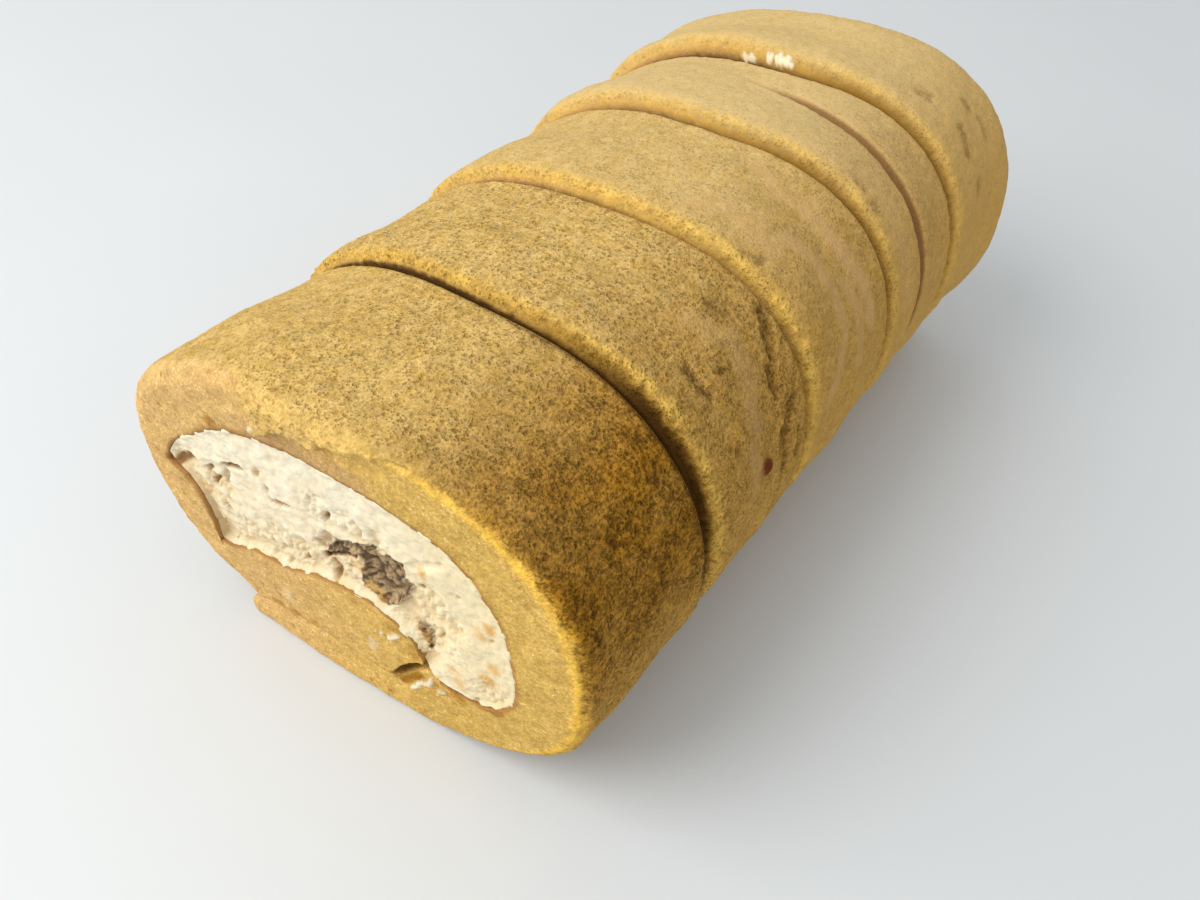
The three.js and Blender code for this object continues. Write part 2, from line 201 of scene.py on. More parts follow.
# The sheet's listed stretches, as points of smooth curves in the section (x, height).
FOOT_TIP = [(-24.6, 1.4), (-25.2, 3.1)]
FOOT_UNDER = (-23.6, 21)
FOOT_TOP = [
    (-24.4, 4.7), (-18, 5.9), (-8, 6.6), (3, 6.9), (6.9, 7.3), (8.7, 9), (10.2, 11.1),
    (12.3, 13.9), (14.3, 16.3), (16, 15.9), (17, 14.8),
]
LEFT_WALL = [(-33.6, 29.8), (-31.6, 27), (-30.7, 22.9), (-30.4, 18.4), (-30.4, 15.2)]
NOTCH = [(-32.2, 8.6), (-28, 7)]
CORE_UNDER = [
    (-23.6, 5.1), (-18, 6), (-8, 6.7), (2, 7), (5.9, 7.5), (7.2, 9.5), (8.5, 11.8), (10.6, 14.7),
    (12.6, 17),
]
CORE_TOP = [
    (-27.6, 15.5), (-20.9, 19.2), (-13.7, 20.4), (-8, 23.3), (1.3, 25.7), (8.4, 25), (12.2, 22.4),
    (13.2, 19.8),
]
CORE_NOSE = [(13.6, 17.3), (13.9, 18.3), (13.7, 19.2)]
CREAM_HORN = (-35.4, 30.9)
CREAM_POINT = (16.2, 15)
CREAM_START = 178.4

# Where the section's own middle and first cut lie in the frame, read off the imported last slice.
MIDDLE_X = -0.18
FRONT_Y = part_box("sponge_5")[1].y / MM - CUTS[-1][0]


# ---- Noise, the same on every run ---------------------------------------------------------------

def scramble(cells, seed):
    """Random numbers from 0 to 1, one for each whole-number cell."""
    x, y, z = (cells[..., k].astype(np.int64).astype(np.uint64) for k in range(3))
    h = x * np.uint64(0x9E3779B97F4A7C15) ^ y * np.uint64(0xC2B2AE3D27D4EB4F)
    h ^= z * np.uint64(0x165667B19E3779F9) ^ np.uint64(seed * 7919 + 104729)
    h = (h ^ (h >> np.uint64(31))) * np.uint64(0xBF58476D1CE4E5B9)
    h = (h ^ (h >> np.uint64(29))) * np.uint64(0x94D049BB133111EB)
    return (h >> np.uint64(40)).astype(float) / 2**24


def noise(points, size, seed):
    """Smooth noise from about -1 to 1, with features of the given size in mm."""
    scaled = points / size + 0.37 * seed
    cell = np.floor(scaled)
    inside = scaled - cell
    soft = inside**3 * (inside * (inside * 6 - 15) + 10)
    total = 0
    for corner in itertools.product((0, 1), repeat=3):
        corner = np.array(corner)
        weight = np.prod(np.where(corner, soft, 1 - soft), axis=-1)
        slopes = np.stack([scramble(cell + corner, seed * 3 + k) for k in range(3)], -1) * 2 - 1
        total += weight * np.sum(slopes * (inside - corner), axis=-1)
    return total * 1.6


def layered(points, size, seed, layers=3):
    """Noise with finer and fainter layers on top of it."""
    return sum(noise(points, size / 2**k, seed + k) / 2**k for k in range(layers))


def rough(points, seed, *layers):
    """Noise from layers of (strength, size in mm), each with its own seed."""
    return sum(strength * noise(points, size, seed + k) for k, (strength, size) in enumerate(layers))


def bubbles(points, size, low, high, seed, share=1.0):
    """How far inside a round hole each point of a porous solid lies: 0 at its wall, 1 at its middle."""
    cell = np.floor(points / size)
    inside = np.zeros(points.shape[:-1])
    for step in itertools.product((-1, 0, 1), repeat=3):
        near = cell + np.array(step)
        spots = np.stack([scramble(near, seed + k) for k in range(3)], -1)
        distance = np.linalg.norm(points - (near + spots) * size, axis=-1)
        radius = mix(low, high, scramble(near, seed + 3) ** 2)
        here = scramble(near, seed + 4) < share
        inside = np.maximum(inside, np.where(here, 1 - distance / radius, 0))
    return inside


def domes(points, size, low, high, seed, share=1.0):
    """The same spots as round lumps: 0 between them, 1 on the top of each."""
    away = 1 - bubbles(points, size, low, high, seed, share)
    return np.sqrt(np.maximum(0, 1 - away * away))


# ---- The section of the roll --------------------------------------------------------------------

def angle_of(x, z):
    """Angle about the middle of the widest line, from -90 to 270 degrees."""
    angle = np.degrees(np.arctan2(z - WIDEST_HEIGHT, x))
    return np.where(angle < -90, angle + 360, angle)


def superellipse():
    turn = np.radians(np.linspace(-90, 270, 1441))
    c, s = np.cos(turn), np.sin(turn)
    power = 2 / np.where(s >= 0, CROWN_POWER, BASE_POWER)
    x = HALF_WIDTH * np.sign(c) * np.abs(c) ** power
    rise = np.abs(s) ** power
    crown = WIDEST_HEIGHT + (CROWN_RISE + CROWN_LEAN * x) * rise
    base = np.maximum(0, WIDEST_HEIGHT - BASE_DROP * rise)
    z = np.where(s >= 0, crown, base)
    angle = angle_of(x, z)
    order = np.argsort(angle)
    return angle[order], np.hypot(x, z - WIDEST_HEIGHT)[order]


ANGLES, RADII = superellipse()


def at_angle(angle, radius):
    turn = np.radians(angle)
    return np.stack([radius * np.cos(turn), WIDEST_HEIGHT + radius * np.sin(turn)], -1)


def outline_at(angle):
    return at_angle(angle, np.interp(angle, ANGLES, RADII))


def wall_at(angle):
    return at_angle(angle, np.interp(angle, ANGLES, RADII) - wall(angle))


def underside_at(x):
    rise = (1 - (np.maximum(x, 0) / HALF_WIDTH) ** BASE_POWER) ** (1 / BASE_POWER)
    z = np.where(x < 0, 0, np.maximum(0, WIDEST_HEIGHT - BASE_DROP * rise))
    return np.stack([x, z], -1)


# Lengths round the section, in mm, that the sheet's columns are shared out by.
FOOT_LENGTH = 46
BRIDGE_LENGTH = 9
TURN_LENGTH = 160
GAP_LENGTH = 5
LEFT_LENGTH = 24
HINGE_LENGTH = 4.6
CORE_LENGTH = 45
NOSE_LENGTH = 3
TIP_LENGTH = 4
TIP_STEP = 0.8


def sheet_section(turn_step, step):
    """The sheet as matched points on its outer and inner side, from the foot to the torn tip.

    Also how far each pair belongs to the roll's outer skin, 1 on it and 0 inside the roll, and how
    far its inner side borders the cream.
    """
    def evenly(length, size=step):
        count = max(2, round(length / size))
        return np.arange(count) / count

    foot, bridge, turn = evenly(FOOT_LENGTH), evenly(BRIDGE_LENGTH), evenly(TURN_LENGTH, turn_step)
    gap, left = evenly(GAP_LENGTH), evenly(LEFT_LENGTH)
    hinge, core = evenly(HINGE_LENGTH), evenly(CORE_LENGTH)
    tip = evenly(TIP_LENGTH, TIP_STEP)
    nose = np.append(evenly(NOSE_LENGTH), 0.92)
    start_x = outline_at(np.array([TURN_START]))[0, 0]
    turn_angle = mix(TURN_START, TURN_END, turn)
    sides = [outline_at(np.array([mix(LEFT_SIDE_START, LEFT_SIDE_END, k / 3)]))[0] for k in range(4)]
    outer = [
        spline([FOOT_TIP[0], (-24.3, 0.5), (FOOT_UNDER[0], 0)])(tip),
        underside_at(mix(*FOOT_UNDER, foot)),
        underside_at(mix(FOOT_UNDER[1], start_x, bridge)),
        outline_at(turn_angle),
        outline_at(mix(TURN_END, LEFT_SIDE_START, gap)),
        spline(sides + NOTCH)(left),
        mix(np.array(NOTCH[-1]), np.array(CORE_UNDER[0]), hinge[:, None]),
        spline(CORE_UNDER)(core),
        spline([CORE_UNDER[-1], CORE_NOSE[0], CORE_NOSE[1]])(nose),
    ]
    inner = [
        spline([FOOT_TIP[1], (-25.0, 3.9), FOOT_TOP[0]])(tip),
        spline(FOOT_TOP)(foot),
        mix(np.array(FOOT_TOP[-1]), wall_at(np.array([TURN_START])), bridge[:, None]),
        wall_at(turn_angle),
        mix(wall_at(np.array([TURN_END])), np.array(LEFT_WALL[0]), gap[:, None]),
        spline(LEFT_WALL)(left),
        mix(np.array(LEFT_WALL[-1]), np.array(CORE_TOP[0]), hinge[:, None]),
        spline(CORE_TOP)(core),
        spline([CORE_TOP[-1], CORE_NOSE[2], CORE_NOSE[1]])(nose),
    ]
    on_skin = [np.ones(len(part)) for part in outer[:5]] + [fade(left, 0.55, 0.85)]
    on_skin += [np.zeros(len(part)) for part in outer[6:]]
    at_cream = [0 * tip, ramp(foot, 0.93, 1)] + [np.ones(len(part)) for part in outer[2:]]
    return [np.concatenate(parts) for parts in (outer, inner, on_skin, at_cream)]


# ---- From the section to a slice ----------------------------------------------------------------

def rounded_drop(distance, reach):
    inside = np.clip(1 - distance / reach, 0, 1)
    return reach * (1 - np.sqrt(1 - inside * inside))


def rounded_corner(distance, radius):
    """One side of a rounded edge: the new distance from the sharp edge, and the drop there."""
    turn = np.clip(1 - distance / radius, 0, 1) * math.pi / 4
    travel = np.where(distance < radius, radius * (1 - np.sin(turn)), distance)
    return travel, radius * (1 - np.cos(turn))


def band_strength(angle, y):
    away = np.abs(y - band_y(angle)) / BAND_HALF_WIDTH
    return band_depth(angle) * fade(away, 0, 1)


def skin_offset(index, angle, share, y):
    """How far a slice's skin stands outside the plain outline."""
    piece = SLICES[index]
    length = CUTS[index + 1][0] - CUTS[index][0]
    offset = proud_around(angle) * piece["proud"] * fade(share, *PROUD_FADES)
    offset -= tuck_around(angle) * piece["tuck"] * ramp(share, *TUCK_COMES)
    left_along = zone(share, LEFT_COMES, LEFT_FADES)
    offset += left_around(angle) * piece["left"] * left_along
    offset += right_around(angle) * piece["right"] * ramp(share, *RIGHT_COMES)
    edge = edge_around(angle)
    offset -= edge * EDGE_DROP * rounded_drop(share * length, piece["edge"])
    free = zone(share, WAVE_COMES, WAVE_FADES)
    for turns, pitch in SKIN_WAVES:
        offset += SKIN_WAVE * edge * free * np.sin(turns * np.radians(angle) + y * pitch)
    if index == BAND_SLICE:
        offset -= band_strength(angle, y)
    if index == LAST:
        drop = rounded_drop((1 - share) * length, BACK_EDGE)
        offset -= back_edge_around(angle) * BACK_EDGE_DROP * drop
    return offset


# The crumb that overhangs the crown of the first face: its torn lower and left edge, and its reach.
lip_lower = Table([
    (-14, 52.6), (-10.8, 53.6), (-8.3, 54.6), (-5.2, 57), (-1, 58), (4.7, 59.4), (9, 61.2), (13.6, 62.8),
    (20, 64.5),
], blur=0.8)
lip_left = Table([(52, -11), (56, -10.4), (58.6, -10.8), (60.5, -13), (62.4, -15), (66, -17)], blur=0.8)
lip_reach = Table([(-14, 1.3), (-8, 1.6), (2, 1.5), (10, 0.9), (17, 0.3), (22, 0)], blur=0.8)
# How its edge is torn: a seed, then (strength, size in mm) of each layer of noise.
LIP_TORN = 41, (0.7, 2.6), (0.6, 1)


def lip_strength(x, z):
    """1 where the crumb at the crown overhangs the first face, with a torn edge."""
    points = np.stack([x, z, np.zeros_like(x)], -1)
    torn = rough(points, *LIP_TORN)
    return ramp(x - lip_left(z) + torn, -0.6, 0.8) * ramp(z - lip_lower(x) + torn, -0.5, 0.6)


def face_reach(x, z):
    """How far the first face stands towards the front of its plain plane."""
    tilt = -FACE_SKEW * x - FACE_LEAN * (z - WIDEST_HEIGHT)
    foot = FOOT_STEP["reach"] * fade(z, FOOT_STEP["full"], FOOT_STEP["top"])
    foot *= fade(x, FOOT_STEP["full_x"], FOOT_STEP["end_x"])
    return tilt + lip_reach(x) * lip_strength(x, z) + foot


def cut_y(cut, x):
    y, slant = CUTS[cut]
    return y + slant * fade(x, SLANT_FROM_X, SLANT_TO_X)


def front_y(index, x, z):
    return -face_reach(x, z) if index == 0 else cut_y(index, x) + SLICE_GAP / 2


def back_y(index, x, z, depth):
    back = cut_y(index + 1, x)
    if index == LAST:
        return back
    wedge = 0
    if index == 0:
        wedge = WEDGE_WIDTH * wedge_around(angle_of(x, z)) * (1 - depth)
    return back - SLICE_GAP / 2 - wedge


# ---- Meshes -------------------------------------------------------------------------------------

def surface_normals(grid):
    """Outward unit normals of a grid of points whose second direction closes on itself."""
    along = np.roll(grid, -1, 1) - np.roll(grid, 1, 1)
    normals = np.cross(along, np.gradient(grid, axis=0))
    length = np.linalg.norm(normals, axis=-1, keepdims=True)
    return normals / np.maximum(length, 1e-9)


def in_frame(points):
    """From mm in the section's own place to metres in the shared frame."""
    return (points + np.array([MIDDLE_X, FRONT_Y, 0])) * MM


def make_mesh(name, points, quads, loops, masks, material):
    """One smooth mesh of quads and larger closing loops, with a named mask for each of its points."""
    mesh = bpy.data.meshes.new(name)
    mesh.from_pydata(in_frame(points), [], quads.tolist() + loops)
    for label, values in masks.items():
        mesh.attributes.new(label, "FLOAT", "POINT").data.foreach_set("value", np.ravel(values))
    mesh.shade_smooth()
    mesh.materials.append(material)
    piece = bpy.data.objects.new(name, mesh)
    bpy.context.scene.collection.objects.link(piece)
    return piece


def ring_solid(name, grid, masks, material):
    """A closed solid from a grid whose second direction closes on itself, shut at both ends."""
    rows, columns = grid.shape[:2]
    index = np.arange(rows * columns).reshape(rows, columns)
    ahead = np.roll(index, -1, 1)
    quads = np.stack([index[:-1], ahead[:-1], ahead[1:], index[1:]], -1).reshape(-1, 4)
    loops = [index[0][::-1].tolist(), index[-1].tolist()]
    return make_mesh(name, grid.reshape(-1, 3), quads, loops, masks, material)


# ---- Sponge: the plain surface ------------------------------------------------------------------

# How finely each slice's sponge is made, in mm: round its turn, elsewhere, along the roll, and the
# rows across its front and its back face.
SPONGE_STEPS = [
    {"turn": 0.36, "round": 0.5, "along": 0.37, "front": 34, "back": 4},
    {"turn": 0.36, "round": 0.7, "along": 0.37, "front": 16, "back": 4},
    {"turn": 0.44, "round": 0.8, "along": 0.42, "front": 12, "back": 4},
    {"turn": 0.48, "round": 0.8, "along": 0.45, "front": 12, "back": 4},
    {"turn": 0.46, "round": 0.6, "along": 0.45, "front": 16, "back": 26},
]
INNER_SHARES = np.array([1, 0.8, 0.6, 0.4, 0.2, 0.1, 0.06, 0.03, 0.012])

# Radius of the rounded edge of the open front face, by angle, and of the other edges.
front_round = Table([
    (-60, 1.2), (-35, 1.6), (0, 1.9), (50, 1.9), (80, 2.2), (104, 2.2), (118, 1.9), (140, 2.2),
    (180, 2.2), (215, 1),
], blur=5)
second_round = Table([(-60, 1.2), (-20, 2.4), (10, 3.2), (45, 3), (65, 2), (95, 1.2)], blur=5)
cut_front_round = Table([(-40, 1.2), (0, 1.7), (20, 2), (60, 2), (90, 1.4), (120, 1.2)], blur=5)
CUT_BACK_ROUND = 1.2
BACK_FACE_ROUND = 1.6
INSIDE_ROUND = 0.3

# How far the cut face's own look reaches past the outer edge, by angle: below 0 it stops short.
face_wrap = Table([
    (-60, 0.3), (-35, 0), (0, -0.6), (45, -0.6), (62, -0.6), (80, -0.6), (104, 0.3), (118, 1.6),
    (140, 2.6), (200, 2.6), (215, 1),
], blur=5)

# Width of the brown line between the crumb and the cream, by angle: the baked skin of the sheet's
# inner side, widened on the left, about 192 to 212 degrees, by painted shade of the sunken gap there.
crust_width = Table([
    (-45, 0.5), (-14, 1.1), (0, 0.9), (18, 1), (33, 1.2), (60, 0.9), (90, 0.8), (114, 0.9),
    (127, 1.1), (142, 1.4), (155, 1.2), (166, 0.7), (180, 0.6), (192, 1.5), (212, 1.5), (222, 0.5),
], blur=2.5)


def profile_rows(index):
    """The loop round a slice's sheet: front face, skin, back face and inner wall.

    Gives each row's share along the slice and its depth through the sheet.
    """
    steps = SPONGE_STEPS[index]
    length = CUTS[index + 1][0] - CUTS[index][0]
    front = 1 - (np.arange(steps["front"]) / steps["front"]) ** 0.85
    count = round(length / steps["along"])
    skin = np.arange(count) / count
    back = (np.arange(steps["back"]) / steps["back"]) ** 1.2
    share = np.concatenate([front * 0, skin, back * 0 + 1, INNER_SHARES])
    depth = np.concatenate([front, skin * 0, back, INNER_SHARES * 0 + 1])
    return share, depth


def sponge_surface(index):
    """The smooth surface of a slice's sheet, and where each of its points lies in the slice."""
    steps = SPONGE_STEPS[index]
    outer, inner, on_skin, at_cream = sheet_section(steps["turn"], steps["round"])
    share, depth = (row[None, :] for row in profile_rows(index))
    thickness = np.linalg.norm(outer - inner, axis=1)[:, None]
    angle = angle_of(outer[:, 0], outer[:, 1])[:, None]
    on_skin, at_cream = on_skin[:, None], at_cream[:, None]
    outer, inner = outer[:, None, :], inner[:, None, :]

    first, last = index == 0, index == LAST
    front_radius = (front_round if first else second_round if index == 1 else cut_front_round)(angle)
    front_radius = mix(INSIDE_ROUND, front_radius, on_skin)
    back_radius = BACK_FACE_ROUND if last else CUT_BACK_ROUND
    back_radius = mix(INSIDE_ROUND, back_radius, on_skin)
    on_front = (share == 0) & (depth > 0)
    on_back = share == 1
    from_skin = depth * thickness
    front_travel, front_drop = rounded_corner(from_skin, front_radius)
    back_travel, back_drop = rounded_corner(from_skin, back_radius)
    travel = np.where(on_front, front_travel, np.where(on_back, back_travel, from_skin))
    in_depth = np.minimum(travel / np.maximum(thickness, 0.01), 1)
    inner_drop = rounded_corner((1 - depth) * thickness, INSIDE_ROUND)[1]

    plain = mix(outer, inner, in_depth[..., None])
    x, z = plain[..., 0], plain[..., 1]
    front, back = front_y(index, x, z), back_y(index, x, z, in_depth)
    span = back - front
    from_front, from_back = share * span, (1 - share) * span
    side_front, drop_front = rounded_corner(from_front, front_radius)
    side_back, drop_back = rounded_corner(from_back, back_radius)
    on_side = (depth == 0) & ~on_back
    y = front + from_front
    y = np.where(on_side, y + (side_front - from_front) - (side_back - from_back), y)
    y = np.where(on_front, front + front_drop + inner_drop, y)
    y = np.where(on_back & (depth < 1), back - back_drop, y)
    edge_drop = np.where(on_side, drop_front + drop_back, 0)
    offset = skin_offset(index, angle, share, y) * (1 - in_depth) * on_skin - edge_drop
    radius = np.hypot(outer[..., 0], outer[..., 1] - WIDEST_HEIGHT)
    away = np.stack([outer[..., 0], outer[..., 1] - WIDEST_HEIGHT], -1) / radius[..., None]
    placed = plain + away * offset[..., None]
    # Lengths are in mm and angles in degrees. The last four mark parts of the surface with 1, and
    # the skin fades out where the sheet turns into the roll.
    at_points = {
        "x": placed[..., 0],
        "z": placed[..., 1],
        "angle": angle,
        "on_skin": on_skin,
        "from_skin": from_skin,
        "from_cream": (1 - depth) * thickness,
        "at_cream": at_cream,
        "front_radius": front_radius,
        "from_front": np.maximum(from_front, 0),
        "from_back": np.maximum(from_back, 0),
        "front": on_front,
        "back": on_back & (depth > 0),
        "inside": (depth == 1) * (share > 0),
        "skin": on_side * on_skin,
    }
    at_points = {name: values + np.zeros_like(y) for name, values in at_points.items()}
    grid = np.stack([placed[..., 0], y, np.maximum(placed[..., 1], 0)], -1)
    return SimpleNamespace(index=index, grid=grid, y=y, **at_points)


# ---- Sponge: relief and marks -------------------------------------------------------------------

# How strongly pores show on each slice's skin, how crumbly its front rim is and how strongly
# its painted highlight shows, how brown its right side is, partly its own colour and partly
# painted shade, and how pale it is.
PORES = [1, 0.95, 0.5, 0.3, 0.25]
RIM_CRUMBS = [0, 1, 0.9, 0.7, 0.6]
BROWNING_AND_SHADE = [1, 0.5, 0.35, 0.3, 0.15]
PALENESS = [0, 0.1, 0.45, 1, 0.9]
RIM_WIDTH = 2.6

# Where painted shade darkens the faces hidden in a cut, in mm in from the skin: the other cuts, and the
# first one, which gapes.
CUT_SHADE_FROM = [(1.2, 3.6), (0, 1.3)]
# How strongly painted shade browns each slice's own front edge, low in the cut before it, how far
# up that reaches in mm, and where round the section it shows.
GROOVE_SHADES = [0, 0.85, 0.55, 0.95, 0.95]
GROOVE_REACH = [0, 1.6, 0.4, 0.6, 0.6]
# How dark the painted shade is on the second slice's front, where the first cut gapes.
GAPE_SHADE = 0.95
groove_around = Table([
    (-20, 0.3), (5, 0.8), (20, 1), (60, 1), (75, 0.6), (95, 0.3), (120, 0.2), (150, 0.2),
])
# The torn crumb along the crown of the first face is fresher and paler, this far back from it.
FRESH_REACH = 6

# Tears and dark dents in the skin: slice, half width, depth, darkness, and a path of
# (angle, place along the roll).
TEARS = [
    (1, 1.2, 0.6, 1.0, [(39, 58.6), (37, 58.2), (35, 57), (31, 55.6)]),
    (1, 1.3, 0.6, 1.0, [(29, 53.8), (26.5, 53.4), (24, 53.6)]),
    (1, 1.1, 0.5, 0.9, [(20, 56), (18, 55.8), (16, 54.4), (13, 53.1), (10, 53)]),
    (1, 0.8, 0.4, 0.8, [(9, 53.4), (5, 53.4), (1, 53.6)]),
    (1, 1.3, 0.3, 0.6, [(47, 51.4), (45, 52.2), (44, 53.2)]),
    (1, 1.0, 0.4, 0.9, [(41.5, 40.5), (39, 40), (37, 40.1), (34.5, 40.6)]),
    (1, 0.5, 0.3, 0.9, [(37.4, 44), (36.4, 45.6), (35.8, 46.8)]),
    (1, 0.8, 0.4, 0.8, [(23.6, 40.4), (22, 40.8)]),
    (1, 0.8, 0.3, 0.7, [(12, 57.0), (9, 57.6), (5, 57)]),
    (1, 0.8, 0.2, 0.5, [(15, 60.1), (9, 59.3), (5, 58)]),
    (0, 0.8, 0.4, 0.9, [(30, 14.5), (28, 15.2), (26.5, 16.6)]),
    (0, 0.9, 0.4, 0.8, [(33, 24.2), (31.5, 25.2)]),
    (0, 0.7, 0.3, 0.7, [(21, 19.4), (17, 20), (12, 19.7)]),
    (0, 0.9, 0.4, 0.5, [(147, 15.2), (143, 16.7), (140, 18.4)]),
    (2, 1.2, 0.2, 0.5, [(50, 63.6), (47, 64.6)]),
    (3, 1.0, 0.3, 0.5, [(44, 93.4), (42, 93.6)]),
    (3, 1.1, 0.3, 0.6, [(38, 93), (36.6, 93)]),
    (4, 1.3, 0.2, 0.5, [(50, 124), (47, 124.6)]),
    (4, 1.4, 0.2, 0.55, [(36, 125.8), (33, 125), (30, 124.6)]),
    (4, 1.2, 0.2, 0.5, [(40, 131.6), (38, 131.6)]),
    (4, 1.0, 0.2, 0.45, [(34, 133), (30, 132.6)]),
    (4, 1.2, 0.2, 0.45, [(22, 126), (19, 126)]),
]
# Smooth pinkish smears down the right side: slice, half width, strength and path.
SMEARS = [
    (2, 1.6, 0.8, [(46, 72.4), (43, 73.3), (37, 73.7), (29, 73.8), (22, 73.2), (17, 70.4), (11, 67)]),
    (2, 1.8, 0.9, [(46, 80.3), (41, 80.9), (33, 80.9), (25, 82), (18, 81.8)]),
    (2, 1.6, 0.7, [(64, 84.3), (55, 80.4), (50, 81), (46, 83)]),
    (2, 1.5, 0.7, [(30, 77.6), (22, 78.2), (12, 76.5)]),
    (2, 3, 0.5, [(66, 68.8), (56, 70.6), (48, 68.5)]),
    (1, 2.2, 0.5, [(36, 49.6), (31, 49), (27, 46.6), (22, 47.2)]),
    (1, 1.8, 0.5, [(20, 43.8), (15, 44.6), (9, 43.6)]),
    (1, 1.6, 0.5, [(48, 47.2), (43, 48.6), (40, 50.6)]),
    (3, 2.2, 0.4, [(44, 96), (30, 95.2), (12, 94.5)]),
]
# The red-brown spot: a slanted oval, by how its size counts along the roll, round it and across.
SPOT = {"slice": 1, "angle": 11, "y": 47.9, "radius": 1.45, "along": 0.706, "round": 0.538, "slant": 0.728}

# Touches of cream left on the crumb: on the first face by half width, strength and path of
# (x, height), and in the last cut by angle, depth under the skin and radius.
FACE_CREAM = [
    (0.5, 0.9, [(10.9, 8.2), (12.2, 10), (13.2, 11.8)]),
    (0.5, 0.9, [(13.6, 11.6), (14.7, 12.6), (15.3, 14.4)]),
    (0.4, 0.8, [(16.4, 12.2), (17.6, 13)]),
    (0.5, 1, [(7.6, 19.4), (9.2, 21.2)]),
    (0.3, 1, [(5.8, 19.2), (6.2, 19.8)]),
    (1, 0.35, [(3, 12.6), (3.6, 15)]),
    (1, 0.3, [(-15.6, 10.4), (-15.2, 13)]),
    (0.5, 0.8, [(-12.8, 52.4), (-11.8, 53.6)]),
    (0.4, 0.7, [(-5.4, 56.6), (-4.6, 57)]),
]
CUT_CREAM = [
    (104, 1.3, 0.9), (101, 1.2, 0.8), (93, 0.3, 0.9), (89, 0.2, 1.2), (86, 0, 1), (84, 0.2, 0.7),
]

# Darker golden stains on the first face: half width, strength and path of (x, height). The specks
# on the foot are the crumb's own colour; those below the crack by the core's tip and along the
# cream's lower right edge are painted shade.
FACE_STAINS_AND_SHADE = [
    (1, 1, [(12.8, 13.6), (11.2, 11.5), (9.7, 9.4), (8.6, 8.2)]),
    (0.5, 0.8, [(7.4, 8), (6.4, 7.6)]),
    (0.6, 0.9, [(14.2, 12.4), (15, 12.8)]),
    (0.5, 0.8, [(18.8, 13.8), (20, 14.2), (21.4, 14.2)]),
    (0.5, 0.7, [(25, 15.6), (26.8, 16.6)]),
    (0.7, 0.7, [(-20, 6.4), (-18.2, 6.7)]),
    (0.8, 0.8, [(-15.8, 6.2), (-14.8, 7)]),
    (0.7, 0.6, [(-11.8, 6.6), (-10.4, 8)]),
    (0.6, 0.4, [(-6.6, 7), (-5.8, 7.3)]),
    (0.6, 0.35, [(0.4, 22.2), (0.8, 23)]),
    (1.2, 0.5, [(11.8, 18), (12, 20.6)]),
    (1.3, 0.4, [(7.8, 22.4), (10.6, 23.2)]),
    (0.8, 0.7, [(15, 13.2), (15.8, 13.4)]),
    (1, 0.5, [(17, 12.4), (18, 12.8)]),
    (0.8, 0.6, [(20.6, 13), (21.2, 13.8)]),
    (0.8, 0.7, [(27.6, 16.8), (28.6, 17.8)]),
    (1, 0.8, [(-22.4, 48.2), (-21.4, 49.2)]),
]

SKIN_SCALE = math.radians(1) * HALF_WIDTH


def marked(away_from, marks, wobble, edge, count=1):
    """How strongly marks show at each point, once for each of their strengths.

    A mark is (half width, strength, ..., path), and away_from gives the distance from its path.
    """
    shown = [0 * wobble] * count
    for half_width, *strengths, path in marks:
        near = fade(away_from(path) / half_width + wobble, *edge)
        shown = [np.maximum(old, near * strength) for old, strength in zip(shown, strengths)]
    return shown


def face_marks(x, z, marks, wobble, edge=(0.4, 1.3), count=1):
    """Marks on a cut face, along paths of (x, height)."""
    return marked(lambda path: path_distance(x, z, path), marks, wobble, edge, count)


def skin_marks(s, marks, wobble, edge, count=1):
    """Marks on a slice's skin, along paths of (angle, place along the roll)."""
    def away_from(path):
        path = [(angle * SKIN_SCALE, y) for angle, y in path]
        return path_distance(s.angle * SKIN_SCALE, s.y, path)

    own = [mark[1:] for mark in marks if mark[0] == s.index]
    return [shade * s.skin for shade in marked(away_from, own, wobble, edge, count)]


# Pores: how far apart, least and greatest radius in mm, and a seed.
COARSE_PORE = 1.25, 0.2, 0.75, 11
FINE_PORE = 0.7, 0.15, 0.42, 12
PORE_WARP_SIZE = 0.9
PORE_WARP = 0.3


def pores(s):
    """The crumb's open pores: 0 between them, 1 at the middle of each."""
    warp = np.stack([noise(s.grid, PORE_WARP_SIZE, k) for k in (1, 2, 3)], -1) * PORE_WARP
    return np.maximum(bubbles(s.grid + warp, *COARSE_PORE), 0.8 * bubbles(s.grid + warp, *FINE_PORE))


def red_spot(s):
    if s.index != SPOT["slice"]:
        return 0 * s.x
    around, along = (s.angle - SPOT["angle"]) * SKIN_SCALE, s.y - SPOT["y"]
    size = SPOT["along"] * along**2 + SPOT["round"] * around**2 + SPOT["slant"] * around * along
    away = np.sqrt(np.maximum(size, 0)) / SPOT["radius"] + 0.15 * noise(s.grid, 1.2, 36)
    return fade(away, 0.65, 1.05) * s.skin


def cream_touches(s):
    """Where a little cream sticks to the crumb."""
    wobble = 0.45 * noise(s.grid, 0.9, 37)
    touch = face_marks(s.x, s.z, FACE_CREAM, wobble)[0] * s.front * (s.index == 0)
    if s.index == LAST:
        for angle, depth, radius in CUT_CREAM:
            x, z = at_angle(angle, np.interp(angle, ANGLES, RADII) - depth)
            middle = np.array([x, cut_y(LAST, x) + SLICE_GAP / 2, z])
            away = np.linalg.norm(s.grid - middle, axis=-1) / radius + wobble
            touch = np.maximum(touch, fade(away, 0.75, 1.2))
    return touch


# Where things come and fade round the section, by angle.
RIGHT_SIDE = (-60, -20), (60, 110)
LEFT_SIDE = (100, 130)
CROWN = (60, 80), (120, 140)
FRESH_CROWN = (62, 84), (118, 128)
RIDGE_THINS = (48, 72)
GAPE_FADES = (40, 62)
BROWN_FADES = (34, 80)
BROWN_COMES = (-24, 24)
SIDE_FADES = (8, 62)

